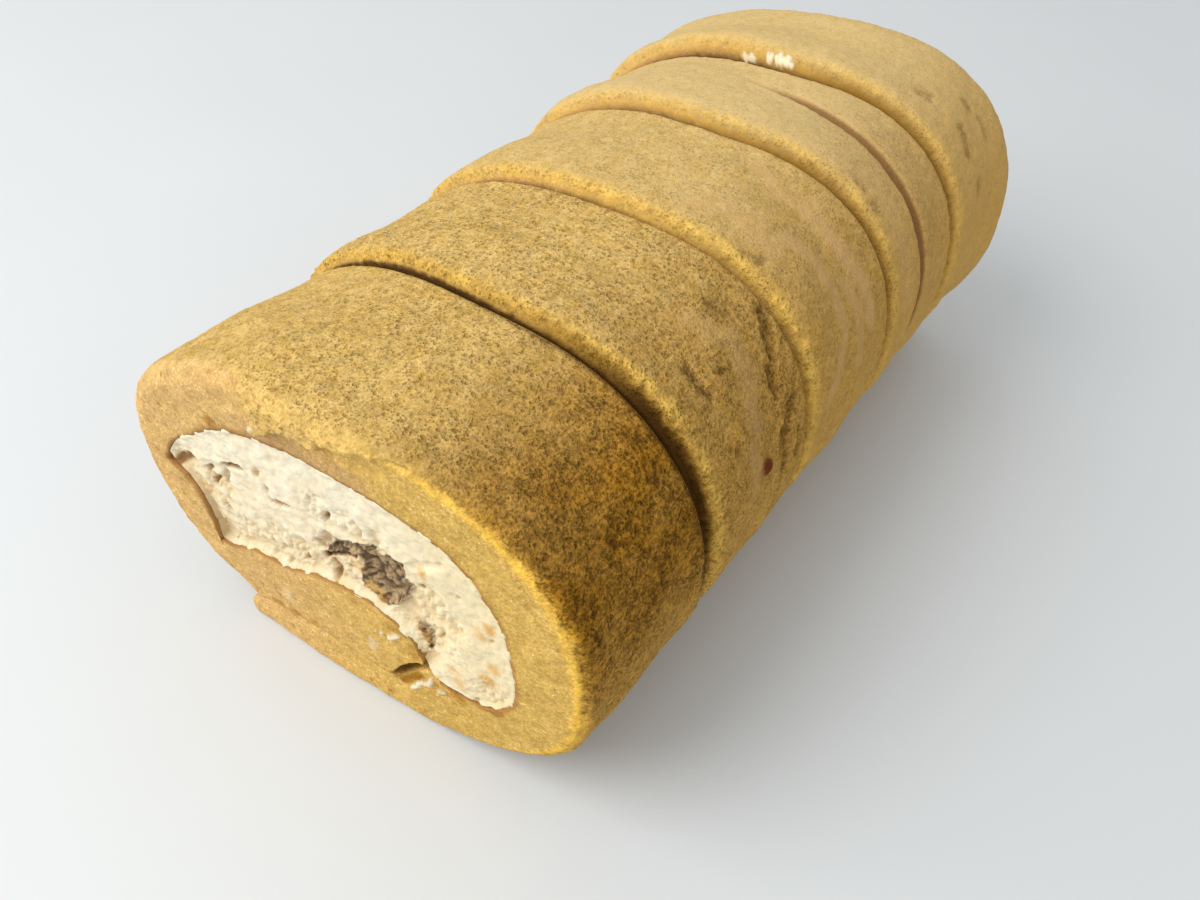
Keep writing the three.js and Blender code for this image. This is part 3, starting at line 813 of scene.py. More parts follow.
# Rough noise: a seed, then (strength, size in mm) of each layer.
FRAYED = 54, (0.7, 1.4), (0.4, 0.6)
TEAR_WOBBLE = 31, (0.55, 1.5), (0.3, 0.7)
SMEAR_WOBBLE = 33, (0.35, 3.5), (0.2, 1.2)
# How soft a mark's edge is, in shares of its half width.
TEAR_EDGE = (0.3, 1.25)
SMEAR_EDGE = (0.3, 1.5)
# Loose crumbs: how far apart, least and greatest radius in mm, and a seed.
LOOSE_CRUMB = 1.5, 0.4, 0.95, 51
# How far the frayed edge of the cut face spreads, and how much relief the hidden faces keep.
WRAP_SOFT = 0.7
LEAST_RELIEF = 0.15

# Height of each part of the relief, in mm, below 0 where it is sunk.
SWELL = 0.14
SKIN_UNEVEN = 0.08
FACE_UNEVEN = 0.1
GRAIN = 0.07
PORE_SUNK = -0.3
FILM_RISE = 0.1
SPOT_RISE = 0.3
TOUCH_RISE = 0.45
BAND_SUNK = -0.4
RIDGE_UNEVEN = 0.2
BACK_EDGE_UNEVEN = 0.12


def sponge_piece(index, material):
    s = sponge_surface(index)
    first, last = index == 0, index == LAST
    none = 0 * s.x
    open_face = s.front * first + s.back * last
    hidden_face = s.front * (not first) + s.back * (not last)
    lip = lip_strength(s.x, s.z) * s.front if first else none
    right_side = zone(s.angle, *RIGHT_SIDE)

    # Where the look of the cut face gives way to the skin
    frayed = rough(s.grid, *FRAYED)
    past_front = np.where(s.front > 0, -s.from_skin, s.from_front)
    past_edge = past_front if first else np.where(s.back > 0, -s.from_skin, s.from_back)
    wrap = face_wrap(s.angle)
    face = fade(past_edge + frayed, wrap - WRAP_SOFT, wrap + WRAP_SOFT)
    face = face * (open_face + s.skin * (first or last)) * (1 - lip)
    face = np.maximum(face, hidden_face + s.inside)
    plain_skin = 1 - face

    # The edges of the cuts, with painted highlight on the lit rims and painted shade deep in the cuts
    at_front = s.skin + s.front
    # A band along each cut's front edge: crumbly relief, and a golden colour that is partly the crumb's
    # own and partly painted highlight of the lit edge.
    off_rim = np.abs(past_front - s.front_radius + 1 + 0.4 * frayed)
    lit_rim = RIM_CRUMBS[index] * fade(off_rim, 0.4, RIM_WIDTH) * at_front
    ragged = np.maximum(lit_rim, 0.7 * lip * fade(s.from_skin, 3, 9))
    # Painted highlight: a pale yellow band along the rounded right edge of the first face, where light
    # catches it. It also gets a little uneven relief.
    off_ridge = past_front - wrap + 0.5 + 0.5 * frayed
    lit_ridge = np.exp(-((off_ridge / 1.1) ** 2)) * right_side * first * at_front
    lit_ridge = lit_ridge * (1 - 0.75 * ramp(s.angle, *RIDGE_THINS))
    # Painted shade: the hidden faces of the cuts darken deeper in, the first slice's right side darkens
    # along its back edge, and the second slice's front darkens where the first cut gapes.
    deep = hidden_face * ramp(s.from_skin + 0.5 * frayed, *CUT_SHADE_FROM[index == 1])
    back_edge = s.skin * (not last)
    back_edge = back_edge * fade(s.from_back + 0.5 * frayed, 0.1, mix(1.3, 1.7, right_side * first))
    deep = np.maximum(deep, 0.8 * back_edge * right_side * first)
    gape = GAPE_SHADE * right_side * (index == 1) * at_front * fade(s.angle, *GAPE_FADES)
    deep = np.maximum(deep, gape * fade(past_front + 0.6 * frayed, 0, 1.4))
    # Painted shade low on each slice's front edge, in the cut before it.
    low = fade(past_front + 0.4 * frayed, GROOVE_REACH[index] - 1.2, GROOVE_REACH[index] + 1)
    groove_shade = GROOVE_SHADES[index] * groove_around(s.angle) * low * at_front * (not first)
    band = band_strength(s.angle, s.y) * s.skin if index == BAND_SLICE else none

    # What lies on the skin and on the crumb
    fresh = zone(s.angle, *FRESH_CROWN) * first * plain_skin
    fresh = fresh * fade(past_front + 1.5 * frayed, 0, FRESH_REACH)
    pore = pores(s)
    strength = PORES[index] * (plain_skin + 0.3 * face * open_face) * (1 - 0.2 * fresh)
    deep_tear, dark = skin_marks(s, TEARS, rough(s.grid, *TEAR_WOBBLE), TEAR_EDGE, 2)
    film = skin_marks(s, SMEARS, rough(s.grid, *SMEAR_WOBBLE), SMEAR_EDGE)[0]
    spot = red_spot(s)
    touch = cream_touches(s)

    crumbs = 0.32 * domes(s.grid, *LOOSE_CRUMB) - 0.1
    crumbs += 0.25 * noise(s.grid, 1.3, 52) + 0.16 * noise(s.grid, 0.7, 56)
    relief = SWELL * layered(s.grid, 6.5, 21, 2) + GRAIN * noise(s.grid, 0.8, 25)
    relief += SKIN_UNEVEN * noise(s.grid, 1.9, 24) * (1 - face)
    relief += FACE_UNEVEN * layered(s.grid, 2.6, 27, 2) * face * open_face
    relief += PORE_SUNK * pore * strength * (1 - 0.7 * film) - deep_tear + BAND_SUNK * band * band
    relief += FILM_RISE * film + SPOT_RISE * spot + TOUCH_RISE * touch + ragged * crumbs
    relief += RIDGE_UNEVEN * lit_ridge * noise(s.grid, 1.4, 53) + BACK_EDGE_UNEVEN * back_edge * frayed
    shown = np.clip(s.skin + open_face + lit_rim, 0, 1) * (1 - s.inside) + LEAST_RELIEF
    shown = shown * np.maximum(mix(LEAST_RELIEF, 1, s.on_skin), open_face)
    shown = np.where((s.on_skin < 0.5) & (open_face < 0.5), 0, np.minimum(shown, 1))
    grid = s.grid + surface_normals(s.grid) * (relief * shown)[..., None]
    grid[..., 2] = np.maximum(grid[..., 2], 0)

    from_cream = s.from_cream + 0.25 * frayed
    width = crust_width(s.angle)
    porous = np.maximum(PORES[index], 0.8 * lit_rim) * plain_skin * (1 - 0.8 * film) * (1 - 0.2 * fresh)
    porous = porous * mix(1, 0.6, ramp(s.angle, *LEFT_SIDE) * first)
    porous = porous * mix(1, ramp(past_front - wrap, 0, 3), right_side * first)
    # The right side turns browner: partly the crust's own colour, partly painted shade of the side turned
    # from the light.
    brown_and_shade = fade(s.angle, *BROWN_FADES) * mix(0.25, 1, ramp(s.angle, *BROWN_COMES))
    masks = {
        "pore": pore * strength * (1 - film),
        "fresh": fresh,
        "porous": porous,
        "pale": PALENESS[index] + none,
        "face": face,
        "gold": ramp(s.x, -24, 14),
        "lit_rim": lit_rim,
        "lit_ridge": lit_ridge,
        "dark": dark,
        "deep": deep,
        "groove_shade": groove_shade,
        "band": band * fade(s.angle, 48, 112),
        "film": film,
        "spot": spot,
        "touch": touch,
        "stain_and_shade": face_marks(s.x, s.z, FACE_STAINS_AND_SHADE, 0.5 * frayed)[0] * s.front * first,
        "crust_and_shade": fade(from_cream, 0.3 * width, 1.3 * width) * (open_face + s.inside) * s.at_cream,
        "blush_and_shade": fade(from_cream, 2, 5.5) * open_face * (1 - lip) * zone(s.angle, *CROWN),
        "brown_and_shade": brown_and_shade * plain_skin * BROWNING_AND_SHADE[index],
        "side": fade(s.angle, *SIDE_FADES),
    }
    return ring_solid(f"sponge_{index + 1}_crumb", grid, masks, material)


# ---- Cream --------------------------------------------------------------------------------------

CREAM_STEPS = {"long": 400, "across": 160}
BACK_STEPS = {"long": 220, "across": 90}
CREAM_PACE = [(0, 0), (0.2, 0.24), (0.62, 0.72), (0.85, 0.92), (1, 1)]
CREAM_CORNER = 0.24

# A point on sunk cream seems to slide over the face by this much for each mm of its depth, in x and
# in height, when it is looked at from above the right front edge. Marks are laid out as seen so.
SLIDE = (0.7, 1.39)

# Torn hollows of the first face, the stretch of it that is sunk a little, and a torn hollow of the
# last face, as outlines of (x, height).
MAIN_HOLLOW = [
    (-4.6, 30.6), (-3.4, 33), (-1.2, 35.8), (1.6, 37.8), (4.4, 38.8), (6.6, 40.6), (7.4, 38.6), (9, 40.2),
    (11.8, 41), (11.6, 37.4), (12.6, 35), (11.4, 31.4), (9.4, 28.6), (6.6, 25.8), (2.6, 27.8), (2.4, 31),
    (3.6, 33.8), (3, 35.4), (1.6, 34.2), (-1, 32.8), (-2.6, 31.4),
]
SMALL_HOLLOW = [(12.3, 26.5), (13.4, 28), (15, 28), (15.9, 24.4), (14.6, 21), (13, 22.8)]
RECESS = [
    (-36, 30), (-31, 35), (-26, 37.3), (-22, 38.8), (-19, 40.2), (-16, 38.6), (-13, 37.4), (-8, 38.6),
    (-3, 38.9), (1, 40.7), (6, 41.2), (9, 40.8), (12.5, 41.6), (15, 38), (18, 33), (19, 26), (16, 19),
    (8, 14), (-30, 4),
]
BACK_HOLLOW = [(-13, 32.4), (-9, 36.4), (-4, 38.6), (-2, 37), (-5, 34), (-9, 32)]

# Slits and pits in the first face's cream: half width, depth, darkness and path of (x, height). Their
# darkness is mostly painted shade of their torn insides, and partly brown blotches in the cream.
SLITS = [
    (0.65, 0.5, 1.0, [(-3.9, 31), (-2, 32.9), (0, 34.3), (2.4, 35.5)]),
    (0.65, 0.5, 1.0, [(4, 36.2), (4.8, 37.8), (6.4, 40.1)]),
    (1.3, 0.3, 0.75, [(-0.2, 35.8), (2, 37), (4, 37.8)]),
    (1.3, 0.5, 0.42, [(-4.6, 33), (-2.4, 36.4)]),
    (0.9, 0.8, 0.55, [(-2.6, 30.4), (-1.8, 28.8), (-2.6, 26.8)]),
    (0.5, 0.2, 0.95, [(10.5, 38), (10.2, 39.8)]),
    (0.5, 0.2, 0.95, [(10.5, 35.6), (11.4, 36.8)]),
    (0.5, 0.2, 0.9, [(15.1, 22.6), (15.6, 24)]),
    (0.5, 1, 0.6, [(-27.8, 34.6), (-26.2, 36.2)]),
    (0.8, 1.1, 0.65, [(-27.4, 31.6), (-26.3, 34)]),
    (0.6, 1.2, 0.8, [(-22.6, 38.8), (-20.6, 39.8), (-18.7, 40.3)]),
    (0.9, 0.6, 0.35, [(-24, 34), (-23, 37.2)]),
    (0.7, 0.7, 0.38, [(-26.3, 22.6), (-25.9, 26.8)]),
    (0.55, 0.5, 0.3, [(-15.4, 41), (-14.6, 42.6)]),
    (0.5, 0.6, 0.4, [(-13.8, 38.8), (-13.4, 40)]),
    (0.7, 1.1, 0.6, [(-13.2, 36.6), (-10.4, 37.9)]),
    (0.45, 0.5, 0.2, [(-10.4, 37.9), (-7.4, 38.5), (-3.6, 38.4)]),
    (0.5, 0.5, 0.25, [(-4.7, 43), (-4.3, 44.2)]),
    (0.55, 0.8, 0.55, [(-2.2, 40.9), (-1.5, 42.2)]),
    (0.65, 0.8, 0.5, [(-8.8, 26.2), (-8.3, 27)]),
    (0.45, 0.5, 0.4, [(0.2, 31), (0.9, 31.7)]),
    (0.45, 0.7, 0.6, [(15, 38), (15.6, 38.6)]),
    (0.35, 0.4, 0.3, [(27, 35.2), (27.4, 36)]),
    (0.35, 0.4, 0.3, [(21.8, 41), (22, 41.6)]),
    (0.8, 0.5, 0.06, [(13.4, 41.6), (16, 44), (19.3, 46.2)]),
    (0.5, 0.6, 0.3, [(-14.6, 24), (-13.6, 26)]),
    (0.5, 0.6, 0.3, [(-13.6, 21.6), (-12.8, 23)]),
    (0.45, 0.5, 0.35, [(23.6, 16), (24, 17)]),
    (0.5, 0.5, 0.22, [(17.6, 27.8), (18.3, 29)]),
]
# Stretches of lumpy cream on the first face: x, height and radius.
CURDS = [
    (-27, 19, 4), (-21, 22.5, 4), (-14, 24.5, 5), (-8, 26.5, 4), (-1, 29, 4.5), (2.5, 31, 3.5),
    (14, 33, 5), (13, 29.5, 4.5), (17.5, 27, 3.5), (16.5, 37, 3), (27, 20.5, 3.5), (-3, 42, 3),
    (3, 42, 3), (8, 42.4, 2.4), (-27, 30, 4), (14, 20.5, 3), (20, 33, 3), (-33, 34.5, 3),
]
# Soft orange flecks in the cream: x, height, radius and strength.
FLECKS = [
    (27, 38.4, 1.1, 1), (25.6, 35.8, 1.3, 0.6), (27.3, 28.6, 1.1, 0.8), (26.1, 24.2, 1.6, 0.8),
    (19.8, 21.2, 1.1, 0.6), (20.8, 18.6, 1.2, 0.7), (16, 42.2, 1, 0.8), (13.4, 32.6, 0.9, 0.5),
    (3, 33.6, 1.5, 0.6), (-15, 41.8, 0.9, 0.5), (-30, 29, 1, 0.5),
]
# Where the torn crumb in the hollows is more orange: x, height and radius.
RUSTY = [(5.4, 28.6, 2.6), (14, 24.4, 3.6)]
# The sunken left end under the horn of cream, as a path along the sponge wall.
LEFT_SINK = [(-35.6, 30.6), (-33.8, 29.4), (-32.2, 26.6), (-31.2, 22.6), (-31, 18.4), (-30.8, 15.6)]
HORN_SHADE = [(-36.4, 30.3), (-33.6, 33), (-31, 35.3)]

# Marks torn in the last face's cream, of the same kinds, their darkness painted shade too.
BACK_SLITS = [
    (0.9, 1, 1.0, [(-11, 33.8), (-8, 35.6), (-4, 37)]),
    (0.7, 1.4, 0.6, [(14.4, 40.6), (17, 37), (17.6, 35)]),
    (0.5, 1, 0.4, [(0, 46), (3.6, 46.4)]),
    (0.5, 0.8, 0.4, [(-20, 30), (-18.6, 32)]),
    (0.6, 0.8, 0.4, [(22, 24), (23, 26)]),
]
BACK_CURDS = [(-24, 22, 6), (-10, 26, 6), (2, 30, 6), (14, 26, 6), (24, 30, 5), (-16, 36, 5), (8, 40, 5)]


def cream_section(count):
    """The cream's outline as matched points on its upper and its lower side."""
    share = np.linspace(0, 1, count + 1)
    upper = wall_at(mix(CREAM_START, TURN_START, share))
    along = np.interp(share, *np.array(CREAM_PACE).T)
    horn = spline([CREAM_HORN] + LEFT_WALL)(np.minimum(along / CREAM_CORNER, 1))
    core = spline(CORE_TOP)(np.maximum((along - CREAM_CORNER) / (1 - CREAM_CORNER), 0))
    lower = np.where((along < CREAM_CORNER)[:, None], horn, core)
    end = ramp(share, 0.9, 1)[:, None]
    upper = mix(upper, np.array(CREAM_POINT), end**3)
    return upper, lower


def blobs(x, z, spots, wobble, soft=0.3):
    """1 inside a group of round spots, with ragged and more or less soft edges."""
    inside = 0 * x
    for spot_x, spot_z, radius in spots:
        away = np.hypot(x - spot_x, z - spot_z) / radius + wobble
        inside = np.maximum(inside, fade(away, 1 - soft, 1 + soft))
    return inside


def within(x, z, outline, wobble, soft=0.3):
    """1 inside a closed outline and 0 outside it, over a soft edge in mm."""
    odd = np.zeros(x.shape, bool)
    for (x0, z0), (x1, z1) in zip(outline, outline[1:] + outline[:1]):
        crosses = (z0 > z) != (z1 > z)
        odd ^= crosses & (x < x0 + (x1 - x0) * (z - z0) / (z1 - z0 if z1 != z0 else 1))
    away = path_distance(x, z, outline + outline[:1])
    return ramp(np.where(odd, away, -away) + wobble, -soft, soft)


def hollow(x, z, outline, wobble, depth):
    """How deep a torn hollow is: steep under its upper edge, and rising gently to its lower one."""
    share = sum(within(x - 0.5 * k, z - k, outline, wobble, 0.9) for k in range(5)) / 5
    return depth * share * within(x, z, outline, wobble)


# Lumps: how far apart, least and greatest radius in mm, and a seed.
BIG_CURD = 3.4, 1.2, 2.4, 61
SMALL_CURD = 1.6, 0.5, 1.15, 62
CREAM_GRAIN = 0.9, 0.3, 0.62, 63
CLOD = 1.1, 0.35, 0.85, 75
CREAM_WOBBLE = 71, (0.45, 1.3), (0.3, 0.6)
CREAM_RAGGED = 81, (0.4, 2.6), (0.25, 1.1)
SLIT_EDGE = (0.25, 1.3)
# About how far the cream reaches from one end of its section to the other, in mm.
CREAM_LENGTH = 75


def foam(points, curd):
    """How far the cream stands behind its face: gentle waves, or lumps where it is torn."""
    big, small, grain = (domes(points, *kind) for kind in (BIG_CURD, SMALL_CURD, CREAM_GRAIN))
    lumpy = 1.1 - 0.35 * big - 0.5 * small - 0.2 * grain + 0.3 * layered(points, 3, 64, 3)
    smooth = 0.34 + 0.24 * noise(points, 4, 67) + 0.24 * layered(points, 1.9, 68, 3) - 0.16 * big
    return mix(smooth, lumpy, curd)


def cream_face(index, x, z):
    """The open cream: how deep each point lies behind its face, and its colour masks."""
    points = np.stack([x, z, np.full_like(x, index)], -1)
    wobble = rough(points, *CREAM_WOBBLE)
    first = index == 0
    curd = blobs(x, z, CURDS if first else BACK_CURDS, 0.5 * wobble, 0.45)
    depth = foam(points, curd)
    outlines = [(MAIN_HOLLOW, 2.1), (SMALL_HOLLOW, 1.6)] if first else [(BACK_HOLLOW, 3)]
    torn = sum(hollow(x, z, outline, 0.6 * wobble, deep) for outline, deep in outlines)
    crumb = ramp(torn, 0.25, 0.7)
    solid = np.stack([x, z, torn], -1)
    clods = domes(solid + 0.3 * noise(solid, 0.7, 76)[..., None], *CLOD)
    lumps = np.clip(0.25 + 0.4 * clods + 0.5 * layered(solid, 1.1, 73, 3), 0, 1)
    depth = mix(depth, 0.35 - 0.65 * lumps, crumb) + torn
    sunk, shade = 0 * x, 0 * x
    if first:
        depth = depth + 0.5 * within(x, z, RECESS, wobble, 0.7) * (1 - crumb)
        from_wall = path_distance(x, z, LEFT_SINK) + 0.7 * wobble
        sunk = fade(from_wall, 0.6, 4)
        under_horn = fade(path_distance(x, z, HORN_SHADE) + 0.6 * wobble, 0.3, 1.3)
        shade = np.maximum(fade(from_wall, 0.1, 0.9), under_horn)
        depth = depth + 0.5 * sunk + 0.5 * shade
    sinks = np.maximum(depth - 0.4, 0)
    seen_x, seen_z = x + SLIDE[0] * sinks, z + SLIDE[1] * sinks
    deep, dark = face_marks(seen_x, seen_z, SLITS if first else BACK_SLITS, wobble, SLIT_EDGE, 2)
    fleck = 0 * x
    for fleck_x, fleck_z, radius, strength in FLECKS if first else []:
        away = np.hypot(seen_x - fleck_x, (seen_z - fleck_z) / 1.3) / radius + 0.6 * wobble
        fleck = np.maximum(fleck, fade(away, 0.3, 1.5) * strength)
    masks = {
        # Painted shade in the slits and pits, along the sponge wall and under the horn.
        "slit_shade": np.maximum(dark * (1 - 0.6 * crumb * lumps), 0.62 * shade),
        "crumb": crumb,
        "lump": lumps,
        "rust": blobs(seen_x, seen_z, RUSTY, wobble),
        "sunk": sunk,
        "fleck": fleck,
        "valley_shade": np.clip(depth, 0, 2) * (1 - crumb),
        "yellow": ramp(x, 0, 26),
    }
    return depth + deep * (1 - 0.6 * crumb), masks


def cream_piece(index, material, steps, face_sign):
    """The cream of an end slice: one open torn face, plain sides and a plain hidden face."""
    upper, lower = cream_section(steps["long"])
    across = np.linspace(0, 1, steps["across"] + 1)[None, :]
    share = np.linspace(0, 1, steps["long"] + 1)[:, None]
    flat = mix(upper[:, None], lower[:, None], across[..., None])
    width = np.linalg.norm(upper - lower, axis=1)[:, None]
    from_upper, from_lower = across * width, (1 - across) * width
    edge_points = np.concatenate([flat, np.full(flat.shape[:2] + (1,), float(index))], -1)
    ragged = 0.3 + rough(edge_points, *CREAM_RAGGED)
    outward = np.gradient(upper, axis=0)[:, ::-1] * np.array([-1, 1])
    outward /= np.linalg.norm(outward, axis=1, keepdims=True)
    down = (lower - upper) / np.maximum(width, 1e-6)
    push_up = ragged * fade(from_upper, 0, 2.5) * zone(share, (0.02, 0.06), (0.93, 0.97))
    push_down = 1.3 * ragged * fade(from_lower, 0, 2) * zone(share, (0.2, 0.26), (0.9, 0.95))
    flat = flat + outward[:, None] * push_up[..., None] + down[:, None] * push_down[..., None]
    x, z = flat[..., 0], flat[..., 1]
    from_end = np.minimum(share, 1 - share) * CREAM_LENGTH
    depth, masks = cream_face(index, x, z)
    edge = np.minimum(np.minimum(from_upper, from_lower), from_end)
    rolled = rounded_drop(edge, 0.9) * 0.6
    proud = 0.45 * ramp(push_up + push_down, 0.15, 0.6)
    depth = depth * ramp(edge, -0.4, 1.4) + rolled - proud
    if face_sign < 0:
        y = front_y(index, x, z) + depth
        hidden = back_y(index, x, z, 1)
    else:
        y = back_y(index, x, z, 1) - depth
        hidden = front_y(index, x, z)
    shown = np.stack([x, y, z], -1)
    count_u, count_v = shown.shape[:2]
    cells = np.arange(count_u * count_v).reshape(count_u, count_v)
    quads = np.stack([cells[:-1, :-1], cells[1:, :-1], cells[1:, 1:], cells[:-1, 1:]], -1).reshape(-1, 4)
    ring = np.concatenate([cells[:-1, 0], cells[-1, :-1], cells[:0:-1, -1], cells[0, :0:-1]])
    far = np.stack([x, hidden, z], -1).reshape(-1, 3)[ring]
    back_ring = cells.size + np.arange(len(ring))
    sides = np.stack([ring, back_ring, np.roll(back_ring, -1), np.roll(ring, -1)], -1)
    points = np.concatenate([shown.reshape(-1, 3), far])
    loop = back_ring.tolist()
    if face_sign < 0:
        quads, sides = quads[:, ::-1], sides[:, ::-1]
    else:
        loop = loop[::-1]
    tail = np.zeros(len(ring))
    masks = {name: np.concatenate([values.ravel(), tail]) for name, values in masks.items()}
    name = f"cream_{index + 1}_torn"
    return make_mesh(name, points, np.concatenate([quads, sides]), [loop], masks, material)


# ---- Materials ----------------------------------------------------------------------------------

class Nodes:
    """Short names for building the nodes of a material or of the world.

    Every input is a number, a tuple or another node's socket.
    """

    def __init__(self, owner, shader="Principled BSDF"):
        owner.use_nodes = True
        self.owner = owner
        self.tree = owner.node_tree
        self.shader = self.tree.nodes[shader]

    def set(self, node, inputs):
        for key, value in inputs.items():
            if isinstance(value, bpy.types.NodeSocket):
                self.tree.links.new(value, node.inputs[key])
            else:
                node.inputs[key].default_value = value

    def add(self, kind, inputs, output=0, **settings):
        node = self.tree.nodes.new(kind)
        for key, value in settings.items():
            setattr(node, key, value)
        self.set(node, inputs)
        return node.outputs[output]

    def mask(self, name):
        return self.add("ShaderNodeAttribute", {}, "Fac", attribute_name=name)

    def maths(self, operation, a, b):
        return self.add("ShaderNodeMath", {0: a, 1: b}, operation=operation)

    def times(self, a, b):
        return self.maths("MULTIPLY", a, b)

    def vectors(self, operation, inputs):
        return self.add("ShaderNodeVectorMath", inputs, operation=operation)

    def scaled(self, vector, scale):
        return self.vectors("SCALE", {0: vector, "Scale": scale})

    def place(self):
        """Object coordinates in mm."""
        return self.scaled(self.add("ShaderNodeTexCoord", {}, "Object"), 1 / MM)

    def noise(self, place, size, detail=2.0, rough=0.5, output="Fac"):
        inputs = {"Vector": place, "Scale": 1 / size, "Detail": detail, "Roughness": rough}
        return self.add("ShaderNodeTexNoise", inputs, output)

    def stirred(self, place, size, reach):
        """A place moved about by noise, so that patterns on it turn irregular."""
        swing = self.vectors("SUBTRACT", {0: self.noise(place, size, output="Color"), 1: (0.5, 0.5, 0.5)})
        return self.vectors("ADD", {0: place, 1: self.scaled(swing, 2 * reach)})

    def between(self, value, low, high, to_low=0.0, to_high=1.0):
        inputs = {"Value": value, "From Min": low, "From Max": high, "To Min": to_low, "To Max": to_high}
        return self.add("ShaderNodeMapRange", inputs, "Result", interpolation_type="SMOOTHSTEP")

    def turned(self, share, at_0, at_1):
        """A share from 0 to 1, turned into a smooth range from at_0 to at_1."""
        return self.between(share, 0, 1, at_0, at_1)

    def spots(self, place, size, low, high, strength=1.0):
        """Round spots, this far apart in mm, with an edge from low to high."""
        away = self.add("ShaderNodeTexVoronoi", {"Vector": place, "Scale": 1 / size}, "Distance")
        return self.between(away, low, high, strength, 0)

    def blend(self, share, a, b):
        """A colour between two colours, each a socket or an (r, g, b)."""
        a, b = ((*value, 1) if isinstance(value, tuple) else value for value in (a, b))
        return self.add("ShaderNodeMix", {0: share, 6: a, 7: b}, 2, data_type="RGBA")

    def paint(self, colour, tint, mask, share=1.0):
        """A colour with a tint over it, as strong as a mask times a share."""
        return self.blend(self.times(self.mask(mask), share), colour, tint)

    def bump(self, height, depth_mm):
        return self.add("ShaderNodeBump", {"Height": height, "Distance": depth_mm * MM})


SKIN_PALE = (0.59, 0.395, 0.135)
SKIN_LIGHT = (0.63, 0.45, 0.195)
SKIN_GOLD = (0.52, 0.32, 0.075)
SKIN_TAN_AND_SHADE = (0.64, 0.355, 0.075)
SKIN_BROWN_AND_SHADE = (0.275, 0.125, 0.011)
PORE_SHADE_ON_TOP = (0.33, 0.18, 0.028)
PORE_SHADE_ON_SIDE = (0.095, 0.038, 0.003)
FACE_PEACH = (0.64, 0.40, 0.15)
FACE_GOLD = (0.64, 0.405, 0.105)
FACE_SPECK = (0.44, 0.235, 0.045)
FACE_GLINT = (0.86, 0.68, 0.38)
RIM_GOLD_HIGHLIGHT = (0.76, 0.47, 0.095)
RIDGE_HIGHLIGHT_YELLOW = (0.93, 0.54, 0.07)
FRESH_YELLOW = (0.73, 0.48, 0.155)
FILM_PINK = (0.62, 0.385, 0.17)
STAIN_AND_SHADE_ORANGE = (0.34, 0.15, 0.014)
CRUST_AND_SHADE_BROWN = (0.34, 0.16, 0.045)
BLUSH_AND_SHADE = (0.52, 0.31, 0.14)
SPOT_RED = (0.17, 0.035, 0.010)
TEAR_DARK = (0.11, 0.048, 0.008)
GROOVE_SHADE_BROWN = (0.22, 0.10, 0.006)
BAND_SHADE_BROWN = (0.24, 0.115, 0.04)
GAP_SHADE = (0.05, 0.018, 0.003)
CREAM_LIGHT = (0.88, 0.78, 0.57)
CREAM_WARM = (0.74, 0.55, 0.29)
CREAM_YELLOW = (0.82, 0.66, 0.36)


